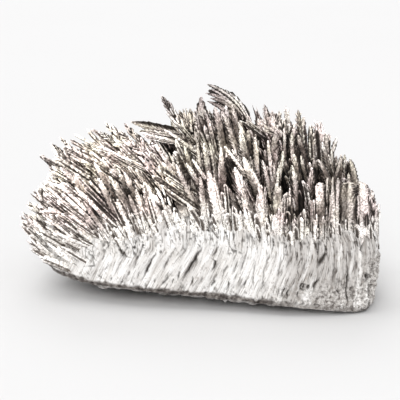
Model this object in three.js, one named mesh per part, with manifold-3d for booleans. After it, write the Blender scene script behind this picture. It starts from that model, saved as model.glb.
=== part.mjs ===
// Magnesite specimen: one natural crystal cluster, in millimetres, +Z up.
// A thick fibrous mass stands on a flat patch of its underside, and a forest of pointed
// crystals grows out of its rounded top. It all grew together, so it is one closed solid.
// The origin is at the middle of its footprint, on the surface that it rests on.
import * as THREE from 'three';
import * as BufferGeometryUtils from 'three/addons/utils/BufferGeometryUtils.js';
import Module from 'manifold-3d';

// ---- driving dimensions, mm ----
const CROWN_HEIGHT = 41.0;        // top of the fused mass, between the crystals
const CROWN_CENTRE = [4.82, 0.56]; // plan position of that top
const CROWN_POWER = 2.2;          // how late the crown rolls over towards the shoulder
const COLUMNS = 36;               // facets round the mass
const WALL_BULGE = 0.6;           // swell of the wall between the rim and the shoulder
const CRYSTAL_SIDES = 5;          // facets round one crystal
const CRYSTAL_WAIST = 0.78;       // width at the root, over the greatest width
const CRYSTAL_SHOULDER = 0.66;    // where the crystal starts to close to its point
const CRYSTAL_TIP = 0.24;         // width of the blunt part of the point, over the greatest width

// shoulder: where the fused wall ends and the crystals part, x, y, z
const SHOULDER = [
  [61.6, -7.4, 30.0],
  [60.8, -20.4, 30.5],
  [55.6, -30.4, 30.5],
  [36.8, -33.4, 30.0],
  [14.8, -29.4, 32.0],
  [-7.2, -26.4, 32.0],
  [-27.2, -23.4, 26.0],
  [-42.2, -17.9, 21.5],
  [-53.2, -8.4, 20.5],
  [-57.2, 2.6, 21.0],
  [-53.7, 14.6, 22.0],
  [-45.2, 24.6, 23.0],
  [-28.2, 30.6, 24.0],
  [-7.2, 32.6, 25.0],
  [14.8, 32.6, 26.0],
  [34.8, 29.6, 27.0],
  [49.8, 21.6, 28.0],
  [58.8, 8.6, 29.0],
];

// rim: the lower edge of the wall, lifted off the surface at the front and the left
const RIM = [
  [60.3, -7.4, 2.0],
  [59.4, -21.4, 1.4],
  [54.8, -32.4, 0.9],
  [32.8, -35.4, 3.2],
  [11.8, -31.4, 4.6],
  [-8.2, -28.4, 5.6],
  [-26.2, -25.4, 6.7],
  [-42.2, -18.4, 7.3],
  [-51.7, -9.4, 8.9],
  [-55.2, 2.6, 12.0],
  [-51.2, 12.6, 10.5],
  [-40.2, 22.6, 8.0],
  [-24.2, 28.6, 4.6],
  [-6.2, 30.6, 3.8],
  [13.8, 30.6, 3.2],
  [32.8, 27.6, 2.6],
  [46.8, 19.6, 2.4],
  [55.3, 6.6, 2.2],
];

// the flat patch that the specimen rests on, x, y at z = 0
const REST = [
  [48.8, -5.4],
  [48.8, -17.4],
  [45.8, -26.4],
  [27.8, -22.4],
  [9.8, -14.9],
  [-8.2, -9.4],
  [-21.2, -3.9],
  [-30.2, 0.6],
  [-34.2, 4.6],
  [-35.2, 8.6],
  [-33.2, 13.6],
  [-27.2, 18.6],
  [-17.2, 20.6],
  [-3.2, 22.6],
  [12.8, 22.6],
  [28.8, 19.6],
  [40.8, 12.6],
  [46.8, 3.6],
];

// crystals: root x, y, z, tip x, y, z, greatest width, flatness, turn in degrees
const CRYSTALS = [
  [ -34.8,   5.3, 27.6,  -55.9,   7.8, 46.2,  3.3, 0.95,  58],
  [ -26.3,   5.0, 30.2,  -52.6,   7.9, 49.8,  2.4, 0.75,   6],
  [ -26.6,   2.7, 30.2,  -48.8,   3.5, 53.0,  1.9, 0.75,  12],
  [ -13.1,   4.2, 32.8,  -45.0,   7.0, 51.8,  4.2, 0.95,  17],
  [ -10.3,   2.1, 33.2,  -43.8,   2.7, 53.9,  2.3, 0.95,  13],
  [ -10.1,   4.9, 33.1,  -37.9,   8.0, 54.5,  2.8, 0.95,  57],
  [   0.6,   1.6, 33.9,  -34.9,   1.6, 55.5,  2.3, 0.75,  62],
  [ -12.4,   2.8, 32.9,  -32.6,   3.9, 58.3,  2.8, 0.75,  41],
  [ -12.7,   5.2, 32.8,  -30.7,   7.7, 56.4,  2.3, 0.75,   2],
  [  -9.5,   4.2, 33.2,  -26.0,   5.9, 57.5,  2.3, 0.75,   6],
  [  -9.8,  -1.3, 33.2,  -21.7,  -2.9, 55.8,  2.3, 0.75,  23],
  [  -6.0,  -5.7, 33.1,  -29.0,  -8.8, 53.9,  5.0, 0.95,  31],
  [ -25.0, -14.7, 26.7,  -35.0, -17.2, 48.8,  4.9, 0.95,  44],
  [ -25.4, -17.9, 25.3,  -45.0, -20.6, 43.4,  3.6, 0.95,  34],
  [ -18.9, -20.9, 26.4,  -29.6, -23.1, 45.4,  4.0, 0.95,  19],
  [ -16.4, -20.1, 27.6,  -24.6, -22.2, 46.6,  4.0, 0.95,  11],
  [  -8.9, -16.8, 30.6,  -22.4, -19.1, 48.9,  4.4, 0.95,  49],
  [ -22.1, -14.0, 27.9,  -51.4, -17.3, 42.2,  2.2, 0.95,  52],
  [ -47.8,   4.1, 22.2,  -58.8,   4.8, 33.3,  1.9, 0.75,   2],
  [ -50.6,  -4.2, 16.5,  -61.8,  -4.4, 28.0,  1.4, 0.75,   8],
  [ -41.7, -10.5, 21.7,  -56.7, -12.4, 33.2,  1.2, 0.95,  32],
  [ -24.4, -13.2, 27.4,  -52.9, -16.1, 32.0,  2.7, 0.95,  28],
  [ -37.4, -16.4, 20.7,  -50.3, -18.0, 31.2,  2.3, 0.95,  63],
  [ -32.3, -19.2, 21.8,  -45.9, -20.9, 32.3,  2.2, 0.95,  37],
  [ -21.8, -22.1, 21.1,  -37.0, -21.9, 38.9,  2.7, 0.95,  30],
  [   8.0,   2.3, 34.0,  -12.8,   3.2, 68.0,  3.7, 0.75,  31],
  [  -0.6,  -1.0, 33.8,   -0.6,  -2.9, 64.2,  1.8, 0.75,  47],
  [   4.9,   1.3, 33.7,  -23.4,   3.4, 58.4,  3.5, 0.95,  42],
  [  20.1,  -1.4, 33.5,  -11.9,  -5.2, 57.0,  2.7, 0.95,  12],
  [  13.3,  -0.0, 33.9,   -8.9,  -1.4, 58.6,  1.2, 0.95,  53],
  [   1.5, -10.7, 33.2,   -9.0, -13.1, 55.2,  5.4, 0.95,  54],
  [   3.1, -16.5, 32.2,   -4.5, -18.9, 54.8,  4.4, 0.95,  68],
  [   0.2, -19.1, 31.4,  -11.9, -21.3, 49.8,  4.9, 0.95,  56],
  [   1.2, -21.7, 30.6,   -7.2, -23.7, 49.7,  3.5, 0.95,  20],
  [  -3.7, -12.3, 32.5,  -17.1, -14.7, 52.1,  4.5, 0.95,  23],
  [   4.1, -22.8, 30.4,  -15.8, -25.4, 45.6,  3.5, 0.95,  46],
  [  31.2,  -1.9, 32.4,   28.8,  -4.3, 61.4,  2.7, 0.75,  46],
  [  35.0,   4.3, 31.5,   31.1,   6.5, 63.5,  2.3, 0.95,  50],
  [  37.4,   4.9, 31.0,   35.4,   7.5, 62.2,  1.9, 0.95,  62],
  [  41.4,  -0.6, 30.7,   39.3,  -2.0, 58.8,  2.8, 0.95,  21],
  [  29.1,   4.5, 32.9,   19.1,   4.8, 64.5,  1.2, 0.95,  67],
  [  30.2,   1.9, 32.4,   27.4,   2.1, 62.2,  2.8, 0.75,   0],
  [  34.0,   3.8, 31.7,   23.3,   5.8, 64.3,  3.2, 0.95,   5],
  [  25.7,   1.7, 33.0,   16.9,   1.8, 61.9,  3.2, 0.95,  70],
  [  29.9,  -1.7, 32.6,   20.8,  -4.0, 61.3,  3.2, 0.95,  67],
  [ -17.6, -10.8, 30.1,  -38.6, -13.7, 49.8,  3.1, 0.95,  21],
  [ -25.7,   3.3, 30.4,  -52.3,   4.6, 47.7,  3.7, 0.95,  10],
  [ -46.9,  -8.8, 16.9,  -58.4,  -9.1, 25.7,  1.8, 0.75,  22],
  [ -45.0, -11.7, 15.9,  -56.0, -12.1, 22.9,  1.8, 0.75,   3],
  [ -51.1,   8.8, 18.1,  -61.3,   8.5, 27.4,  1.9, 0.75,  64],
  [ -10.5, -23.5, 25.0,  -15.3, -23.8, 37.7,  4.0, 0.95,  47],
  [  55.3, -23.5, 21.8,   58.5, -25.4, 39.1,  2.6, 0.75,  42],
  [  56.8, -15.4, 23.1,   60.8, -17.8, 34.2,  2.3, 0.75,  17],
  [  42.2, -30.5, 23.5,   42.5, -31.9, 37.0,  1.1, 0.95,  33],
  [  45.0,   4.5, 29.5,   46.5,   6.0, 53.9,  2.8, 0.95,  13],
  [ -12.8,   0.6, 32.9,  -47.1,  -0.6, 51.4,  4.2, 0.95,  55],
  [   7.1,   1.2, 34.4,    3.6,   4.5, 69.5,  5.9, 0.95,  34],
  [   6.5,   0.7, 34.0,    3.2,   1.5, 72.2,  1.7, 0.75,   2],
  [   6.3,   0.7, 34.3,    2.6,   1.6, 69.0,  1.6, 0.75,  18],
  [   9.7,  -5.7, 33.8,    2.5,  -9.0, 65.4,  2.3, 0.95,  50],
  [  21.9,  -6.1, 33.7,   11.8,  -7.0, 64.0,  1.0, 0.95,  37],
  [  19.6,   4.8, 33.4,   17.4,   7.1, 63.0,  2.8, 0.95,  26],
  [  38.6,   2.6, 31.0,   35.1,   3.4, 63.0,  1.8, 0.95,  18],
  [  31.1,  -0.8, 32.4,   26.4,  -2.5, 61.7,  3.2, 0.95,   6],
  [   8.5,  -1.2, 34.2,   22.6, -10.9, 59.2,  2.7, 0.95,  43],
  [  20.3,  -7.2, 33.5,    8.3, -10.6, 65.1,  4.0, 0.95,  47],
  [  20.9, -10.2, 33.3,   14.4, -12.9, 59.0,  4.9, 0.95,  37],
  [  25.4, -20.1, 31.3,    8.8, -23.1, 55.7,  2.2, 0.95,  67],
  [   8.5, -19.8, 31.4,    4.2, -22.4, 56.6,  2.6, 0.95,  66],
  [  11.9, -21.9, 30.8,   -1.8, -24.4, 51.6,  2.6, 0.95,  14],
  [   8.4, -25.6, 25.6,    3.5, -25.5, 47.9,  5.7, 0.95,  43],
  [  19.2, -24.8, 29.9,   12.4, -26.9, 49.5,  6.1, 0.95,  45],
  [  26.2, -21.3, 30.9,   21.5, -23.4, 51.0,  2.6, 0.95,  17],
  [  26.2, -23.5, 30.3,   26.7, -25.3, 48.7,  1.8, 0.95,  21],
  [  26.0, -18.2, 31.7,   28.6, -20.4, 53.4,  2.7, 0.95,  35],
  [  40.0, -18.6, 31.0,   34.6, -20.8, 52.1,  3.1, 0.95,  53],
  [  37.1, -21.9, 30.6,   38.1, -23.8, 48.7,  3.5, 0.95,  21],
  [  41.9, -10.3, 31.0,   34.1, -13.0, 57.3,  3.6, 0.95,  51],
  [  49.7, -10.3, 29.4,   42.3, -13.0, 54.8,  3.6, 0.95,  47],
  [  53.0, -27.0, 23.5,   54.6, -28.1, 44.5,  5.7, 0.95,  15],
  [  50.4,  -6.2, 29.1,   49.4,  -8.2, 49.5,  3.6, 0.95,  27],
  [  56.9,  -1.9, 27.0,   53.1,  -3.2, 46.9,  3.7, 0.95,  59],
  [  43.5,   2.8, 30.1,   49.0,   3.3, 53.0,  2.3, 0.95,  60],
  [  45.2,   5.3, 29.4,   42.6,   7.8, 58.2,  5.2, 0.95,  47],
  [  57.2,  -5.8, 24.0,   60.4,  -6.8, 36.7,  2.8, 0.95,   0],
  [  46.4,  -1.8, 29.8,   44.5,  -3.7, 55.9,  3.2, 0.95,  49],
  [  30.6,  -8.2, 32.6,   29.4, -10.9, 59.2,  2.3, 0.95,  16],
  [  27.1, -14.0, 32.6,   23.7, -16.4, 56.3,  2.7, 0.95,  59],
  [  21.7, -28.3, 22.1,   20.4, -28.2, 44.1,  4.8, 0.95,  65],
  [  26.7, -26.7, 29.1,   26.3, -28.4, 45.4,  4.8, 0.95,  30],
  [  28.5, -29.6, 27.9,   28.5, -31.0, 41.6,  2.6, 0.95,  68],
  [  38.1, -30.7, 22.2,   37.9, -31.4, 39.7,  3.5, 0.95,  54],
  [  38.6, -25.9, 29.2,   35.6, -27.6, 45.2,  2.6, 0.95,  23],
  [  44.9, -30.4, 22.8,   44.5, -30.1, 47.0,  5.7, 0.95,  63],
  [  49.6, -28.9, 21.8,   49.9, -29.2, 44.8,  6.5, 0.95,  27],
  [  33.5, -22.5, 30.5,   31.4, -24.4, 49.5,  5.3, 0.95,   7],
  [  19.6,   0.8, 33.5,   11.9,   0.1, 65.4,  3.7, 0.95,  42],
  [  39.7,  10.5, 30.0,   32.4,  15.7, 57.6,  5.5, 0.95,  61],
  [  16.7,  15.9, 31.5,   11.5,  18.2, 59.9,  5.5, 0.95,  47],
  [  16.2,   6.4, 33.6,    6.1,   6.3, 60.8,  5.5, 0.95,  28],
  [  27.1,  15.1, 31.0,   21.6,  15.7, 59.5,  5.5, 0.95,  64],
  [  10.0,  10.6, 33.1,    1.7,  14.8, 60.6,  5.5, 0.75,  34],
  [   7.4,  18.3, 30.6,    3.9,  22.6, 59.1,  5.5, 0.95,  27],
  [ -15.1,  13.1, 31.8,  -36.5,  20.5, 49.9,  5.5, 0.75,  10],
  [ -10.4,  10.0, 33.0,  -30.0,  14.9, 52.8,  5.5, 0.95,  15],
  [   7.6,   8.7, 33.5,   -2.9,   9.6, 59.6,  5.5, 0.95,  50],
  [ -26.6,  11.3, 29.9,  -48.5,  15.0, 46.9,  5.5, 0.95,  57],
  [  43.5,  16.1, 27.6,   43.1,  18.0, 54.5,  5.5, 0.95,  21],
  [  -1.4,  17.9, 30.8,  -14.7,  19.4, 53.7,  5.5, 0.75,  45],
  [   0.3,  11.6, 32.9,   -9.6,  12.5, 57.4,  5.5, 0.95,  62],
  [ -28.2,  14.4, 28.9,  -48.3,  21.3, 43.4,  5.5, 0.95,  10],
  [  27.8,  18.4, 29.7,   24.7,  22.1, 54.9,  5.5, 0.95,  19],
  [  37.4,  16.8, 28.8,   31.6,  22.8, 52.9,  5.5, 0.95,  37],
  [  -3.3,   4.4, 34.0,  -17.0,   6.1, 53.8,  5.5, 0.95,  40],
  [ -14.0,  15.5, 30.9,  -27.1,  22.0, 49.6,  5.5, 0.75,  28],
  [ -19.3,  10.1, 31.8,  -37.5,  10.7, 46.5,  5.5, 0.75,  28],
  [  -0.2,  14.7, 31.8,   -6.8,  18.7, 53.6,  5.5, 0.75,   9],
  [  42.3,  18.9, 26.9,   43.9,  25.4, 49.0,  5.5, 0.95,  44],
  [ -32.2,  22.9, 24.2,  -49.0,  29.1, 38.5,  5.5, 0.95,  67],
  [  19.6,   9.8, 32.9,   15.3,  13.3, 55.0,  5.5, 0.95,  14],
  [  22.6,  15.6, 31.2,   18.5,  19.7, 52.7,  5.5, 0.95,  57],
  [   0.8,  18.0, 30.6,   -4.2,  24.8, 51.1,  5.5, 0.95,  12],
  [ -24.2,  23.8, 25.7,  -41.2,  31.2, 37.0,  5.5, 0.95,   3],
  [ -38.2,  12.5, 25.7,  -54.2,  14.5, 40.2,  5.5, 0.75,  53],
  [  46.2,  11.7, 28.0,   46.9,  16.0, 48.8,  5.5, 0.95,  13],
  [  37.1,  19.8, 27.7,   33.8,  26.6, 47.2,  5.5, 0.95,  54],
  [   8.8,  21.4, 29.2,    6.5,  26.1, 49.3,  5.5, 0.75,  23],
  [ -12.3,  21.7, 28.3,  -24.4,  27.2, 44.1,  5.5, 0.95,  40],
  [ -23.0,  19.9, 27.8,  -37.1,  24.6, 42.0,  5.5, 0.95,  67],
  [  -5.5,  10.3, 33.2,  -17.9,  11.6, 49.2,  5.5, 0.75,  66],
  [ -39.2,  16.4, 24.5,  -54.3,  21.6, 37.0,  5.5, 0.75,  34],
  [  14.8,  21.3, 29.2,   13.3,  27.6, 48.0,  5.5, 0.95,  14],
  [ -37.7,  23.8, 22.3,  -53.1,  33.1, 29.9,  5.5, 0.95,  18],
  [  28.0,   9.1, 32.1,   24.5,   8.8, 51.4,  5.5, 0.95,  61],
  [  52.1,  12.8, 26.1,   53.4,  16.2, 43.8,  5.5, 0.95,  42],
  [  47.3,  19.3, 24.6,   51.4,  25.9, 41.1,  5.5, 0.95,  12],
  [   7.1,  23.6, 27.9,    4.9,  30.4, 44.0,  5.5, 0.75,  63],
  [ -43.8,  19.4, 21.9,  -59.0,  23.5, 29.8,  5.5, 0.75,  69],
  [  -5.5,  22.2, 28.3,  -13.5,  27.3, 43.0,  5.5, 0.95,  69],
  [ -18.5,  24.5, 25.9,  -29.2,  31.3, 37.9,  5.5, 0.75,  44],
  [  23.1,  20.4, 29.3,   20.7,  26.9, 44.4,  5.5, 0.95,  70],
  [  28.3,  24.3, 26.8,   26.6,  30.8, 41.7,  5.5, 0.95,  43],
  [  46.6,   7.8, 28.6,   48.5,   9.3, 44.3,  5.5, 0.95,  36],
  [ -31.6,  26.5, 21.6,  -43.8,  33.3, 30.4,  5.5, 0.75,  69],
  [ -43.8,  12.2, 23.4,  -56.1,  15.1, 32.8,  5.5, 0.75,  43],
  [ -11.9,  26.9, 25.1,  -21.9,  32.6, 34.5,  5.5, 0.95,  56],
  [   0.2,  24.5, 27.1,   -2.9,  30.6, 40.0,  5.5, 0.95,  24],
  [ -26.0,  27.8, 21.8,  -35.8,  33.6, 31.0,  5.5, 0.75,  56],
  [  55.0,   6.8, 26.5,   56.0,   7.8, 40.4,  5.5, 0.95,  70],
  [  17.3,  25.4, 26.7,   16.7,  32.0, 38.4,  5.5, 0.95,   3],
  [ -41.3,   4.9, 25.1,  -51.0,   5.4, 34.5,  5.5, 0.75,  38],
  [  39.9,  24.0, 24.6,   41.8,  30.7, 36.2,  5.5, 0.95,  26],
  [  33.0,  25.9, 25.2,   33.6,  31.6, 36.6,  5.5, 0.95,   3],
  [  -7.4,  26.9, 25.1,  -13.0,  33.1, 33.7,  5.5, 0.95,   6],
  [  11.5,  28.7, 24.5,   10.6,  34.6, 33.3,  5.5, 0.95,  19],
  [   2.7,  27.5, 25.2,    0.1,  33.5, 33.1,  5.5, 0.95,  13],
  [  23.3,  29.1, 23.4,   24.5,  34.9, 31.6,  5.5, 0.95,  51],
  [  -3.4,  29.7, 23.1,   -5.3,  35.7, 29.2,  5.5, 0.95,  15],
];

const WHITE_MAGNESITE = new THREE.MeshStandardMaterial({
  name: 'crystal_mineral',
  color: new THREE.Color(0.62, 0.58, 0.55),
  roughness: 0.85,
  metalness: 0.0,
});

// a closed curve through control points, read at t from 0 to 1
function loop(points) {
  const curve = new THREE.CatmullRomCurve3(
    points.map((p) => new THREE.Vector3(p[0], p[1], p.length > 2 ? p[2] : 0)),
    true, 'catmullrom', 0.5,
  );
  return (t) => curve.getPoint(t);
}

// the fused mass: a lathe form whose rings are moved onto the curves above
function massGeometry() {
  const shoulder = loop(SHOULDER);
  const rim = loop(RIM);
  const rest = loop(REST);
  const crown = new THREE.Vector3(CROWN_CENTRE[0], CROWN_CENTRE[1], CROWN_HEIGHT);
  const rings = [];
  rings.push((t) => new THREE.Vector3(CROWN_CENTRE[0], CROWN_CENTRE[1], 0));
  rings.push((t) => { const p = rest(t); p.z = 0; return p; });
  rings.push((t) => rim(t));
  for (const f of [0.34, 0.67]) {
    rings.push((t) => {
      const p = rim(t).lerp(shoulder(t), f);
      const out = new THREE.Vector3(p.x - crown.x, p.y - crown.y, 0).normalize();
      return p.addScaledVector(out, WALL_BULGE * Math.sin(Math.PI * f));
    });
  }
  rings.push((t) => shoulder(t));
  for (const q of [0.86, 0.66, 0.42, 0.2]) {
    rings.push((t) => {
      const s = shoulder(t);
      const rise = 1 - Math.pow(q, CROWN_POWER);
      return new THREE.Vector3(
        crown.x + (s.x - crown.x) * q,
        crown.y + (s.y - crown.y) * q,
        s.z + (CROWN_HEIGHT - s.z) * rise,
      );
    });
  }
  rings.push((t) => crown.clone());

  const last = rings.length - 1;
  const profile = rings.map((r, i) => new THREE.Vector2(i === 0 || i === last ? 0 : 10, i * 10));
  const geometry = new THREE.LatheGeometry(profile, COLUMNS);
  const position = geometry.attributes.position;
  for (let c = 0; c <= COLUMNS; c += 1) {
    for (let r = 0; r <= last; r += 1) {
      const p = rings[r]((c % COLUMNS) / COLUMNS);
      position.setXYZ(c * rings.length + r, p.x, p.y, p.z);
    }
  }
  return geometry;
}

// one crystal: a lathe form with few sides, set on its root and pointed at its tip
function crystalGeometry([bx, by, bz, tx, ty, tz, width, flatness, turn]) {
  const root = new THREE.Vector3(bx, by, bz);
  const axis = new THREE.Vector3(tx, ty, tz).sub(root);
  const length = axis.length();
  axis.normalize();
  const r = width / 2;
  const shoulder = Math.max(length * CRYSTAL_SHOULDER, length - 2.4 * width);
  const profile = [
    new THREE.Vector2(0, 0),
    new THREE.Vector2(r * CRYSTAL_WAIST, 0),
    new THREE.Vector2(r, shoulder),
    new THREE.Vector2(r * CRYSTAL_TIP, length - 0.12 * width),
    new THREE.Vector2(0, length),
  ];
  const geometry = new THREE.LatheGeometry(profile, CRYSTAL_SIDES);
  geometry.rotateY(THREE.MathUtils.degToRad(turn));
  geometry.scale(1, 1, flatness);
  const quaternion = new THREE.Quaternion().setFromUnitVectors(new THREE.Vector3(0, 1, 0), axis);
  geometry.applyQuaternion(quaternion);
  geometry.translate(root.x, root.y, root.z);
  return geometry;
}

const wasm = await Module();
wasm.setup();

// three.js geometry to a closed solid: shared vertices merged, collapsed triangles dropped
function toSolid(source) {
  const geometry = source.clone();
  geometry.deleteAttribute('normal');
  geometry.deleteAttribute('uv');
  const merged = BufferGeometryUtils.mergeVertices(geometry, 1e-4);
  const index = merged.index.array;
  const tris = [];
  for (let i = 0; i < index.length; i += 3) {
    const [a, b, c] = [index[i], index[i + 1], index[i + 2]];
    if (a !== b && b !== c && a !== c) tris.push(a, b, c);
  }
  const v = merged.attributes.position.array;
  let volume = 0;
  for (let i = 0; i < tris.length; i += 3) {
    const [a, b, c] = [tris[i] * 3, tris[i + 1] * 3, tris[i + 2] * 3];
    volume += v[a] * (v[b + 1] * v[c + 2] - v[b + 2] * v[c + 1])
      - v[a + 1] * (v[b] * v[c + 2] - v[b + 2] * v[c])
      + v[a + 2] * (v[b] * v[c + 1] - v[b + 1] * v[c]);
  }
  if (volume < 0) {
    for (let i = 0; i < tris.length; i += 3) [tris[i + 1], tris[i + 2]] = [tris[i + 2], tris[i + 1]];
  }
  return new wasm.Manifold(new wasm.Mesh({
    numProp: 3,
    vertProperties: new Float32Array(v),
    triVerts: new Uint32Array(tris),
  }));
}

// joins neighbours first, so that each step stays small
function joinAll(solids) {
  let list = solids;
  while (list.length > 1) {
    const next = [];
    for (let i = 0; i < list.length; i += 2) {
      next.push(i + 1 < list.length ? list[i].add(list[i + 1]) : list[i]);
    }
    list = next;
  }
  return list[0];
}

const cluster = joinAll([toSolid(massGeometry()), ...CRYSTALS.map((c) => toSolid(crystalGeometry(c)))]);
const joined = cluster.getMesh();
const geometry = new THREE.BufferGeometry();
geometry.setAttribute('position', new THREE.BufferAttribute(new Float32Array(joined.vertProperties), 3));
geometry.setIndex(new THREE.BufferAttribute(new Uint32Array(joined.triVerts), 1));
geometry.computeVertexNormals();

const specimen = new THREE.Group();
const mesh = new THREE.Mesh(geometry, WHITE_MAGNESITE);
mesh.name = 'crystal_cluster';
specimen.add(mesh);

export default specimen;
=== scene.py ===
# Looks of the magnesite specimen: fused fibrous mass, feathery crystals, floor, light and camera.
# Lengths in the tables are in millimetres, in the same frame as the solid; objects are in metres.
import math

import bpy
import numpy as np
from mathutils import Vector, Matrix


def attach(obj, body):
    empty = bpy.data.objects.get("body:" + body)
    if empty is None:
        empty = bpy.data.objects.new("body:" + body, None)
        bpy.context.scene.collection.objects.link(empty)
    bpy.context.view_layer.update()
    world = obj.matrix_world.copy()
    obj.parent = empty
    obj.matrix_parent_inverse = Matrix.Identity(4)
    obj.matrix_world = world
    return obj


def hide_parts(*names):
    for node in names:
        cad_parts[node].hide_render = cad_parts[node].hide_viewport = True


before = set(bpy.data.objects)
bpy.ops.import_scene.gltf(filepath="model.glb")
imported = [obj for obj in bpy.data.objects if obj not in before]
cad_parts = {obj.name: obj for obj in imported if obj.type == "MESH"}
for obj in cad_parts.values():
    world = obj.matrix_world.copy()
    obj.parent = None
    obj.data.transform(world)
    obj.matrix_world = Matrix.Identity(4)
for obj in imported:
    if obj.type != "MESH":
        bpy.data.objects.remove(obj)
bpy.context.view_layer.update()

MM = 0.001
SEED = 20260
rng = np.random.default_rng(SEED)

# ---------------------------------------------------------------- tables, mm
# angle columns round the mass: shoulder x, y, z, rim x, y, z, rest x, y
COLUMNS = np.array([
    [61.6, -7.4, 28.0, 60.3, -7.4, 2.0, 48.8, -5.4],
    [60.8, -20.4, 28.5, 59.4, -21.4, 1.4, 48.8, -17.4],
    [55.6, -30.4, 28.5, 54.8, -32.4, 0.9, 45.8, -26.4],
    [36.8, -33.4, 28.0, 32.8, -35.4, 3.2, 27.8, -22.4],
    [14.8, -29.4, 30.0, 11.8, -31.4, 4.6, 9.8, -14.9],
    [-7.2, -26.4, 30.0, -8.2, -28.4, 5.6, -8.2, -9.4],
    [-27.2, -23.4, 24.0, -26.2, -25.4, 6.7, -21.2, -3.9],
    [-42.2, -17.9, 19.5, -42.2, -18.4, 7.3, -30.2, 0.6],
    [-53.2, -8.4, 18.5, -51.7, -9.4, 8.9, -34.2, 4.6],
    [-57.2, 2.6, 19.0, -55.2, 2.6, 12.0, -35.2, 8.6],
    [-53.7, 14.6, 20.0, -51.2, 12.6, 10.5, -33.2, 13.6],
    [-45.2, 24.6, 21.0, -40.2, 22.6, 8.0, -27.2, 18.6],
    [-28.2, 30.6, 22.0, -24.2, 28.6, 4.6, -17.2, 20.6],
    [-7.2, 32.6, 23.0, -6.2, 30.6, 3.8, -3.2, 22.6],
    [14.8, 32.6, 24.0, 13.8, 30.6, 3.2, 12.8, 22.6],
    [34.8, 29.6, 25.0, 32.8, 27.6, 2.6, 28.8, 19.6],
    [49.8, 21.6, 26.0, 46.8, 19.6, 2.4, 40.8, 12.6],
    [58.8, 8.6, 27.0, 55.3, 6.6, 2.2, 46.8, 3.6],
])
CENTRE = np.array([4.82, 0.56])
CROWN = 36.0

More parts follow.
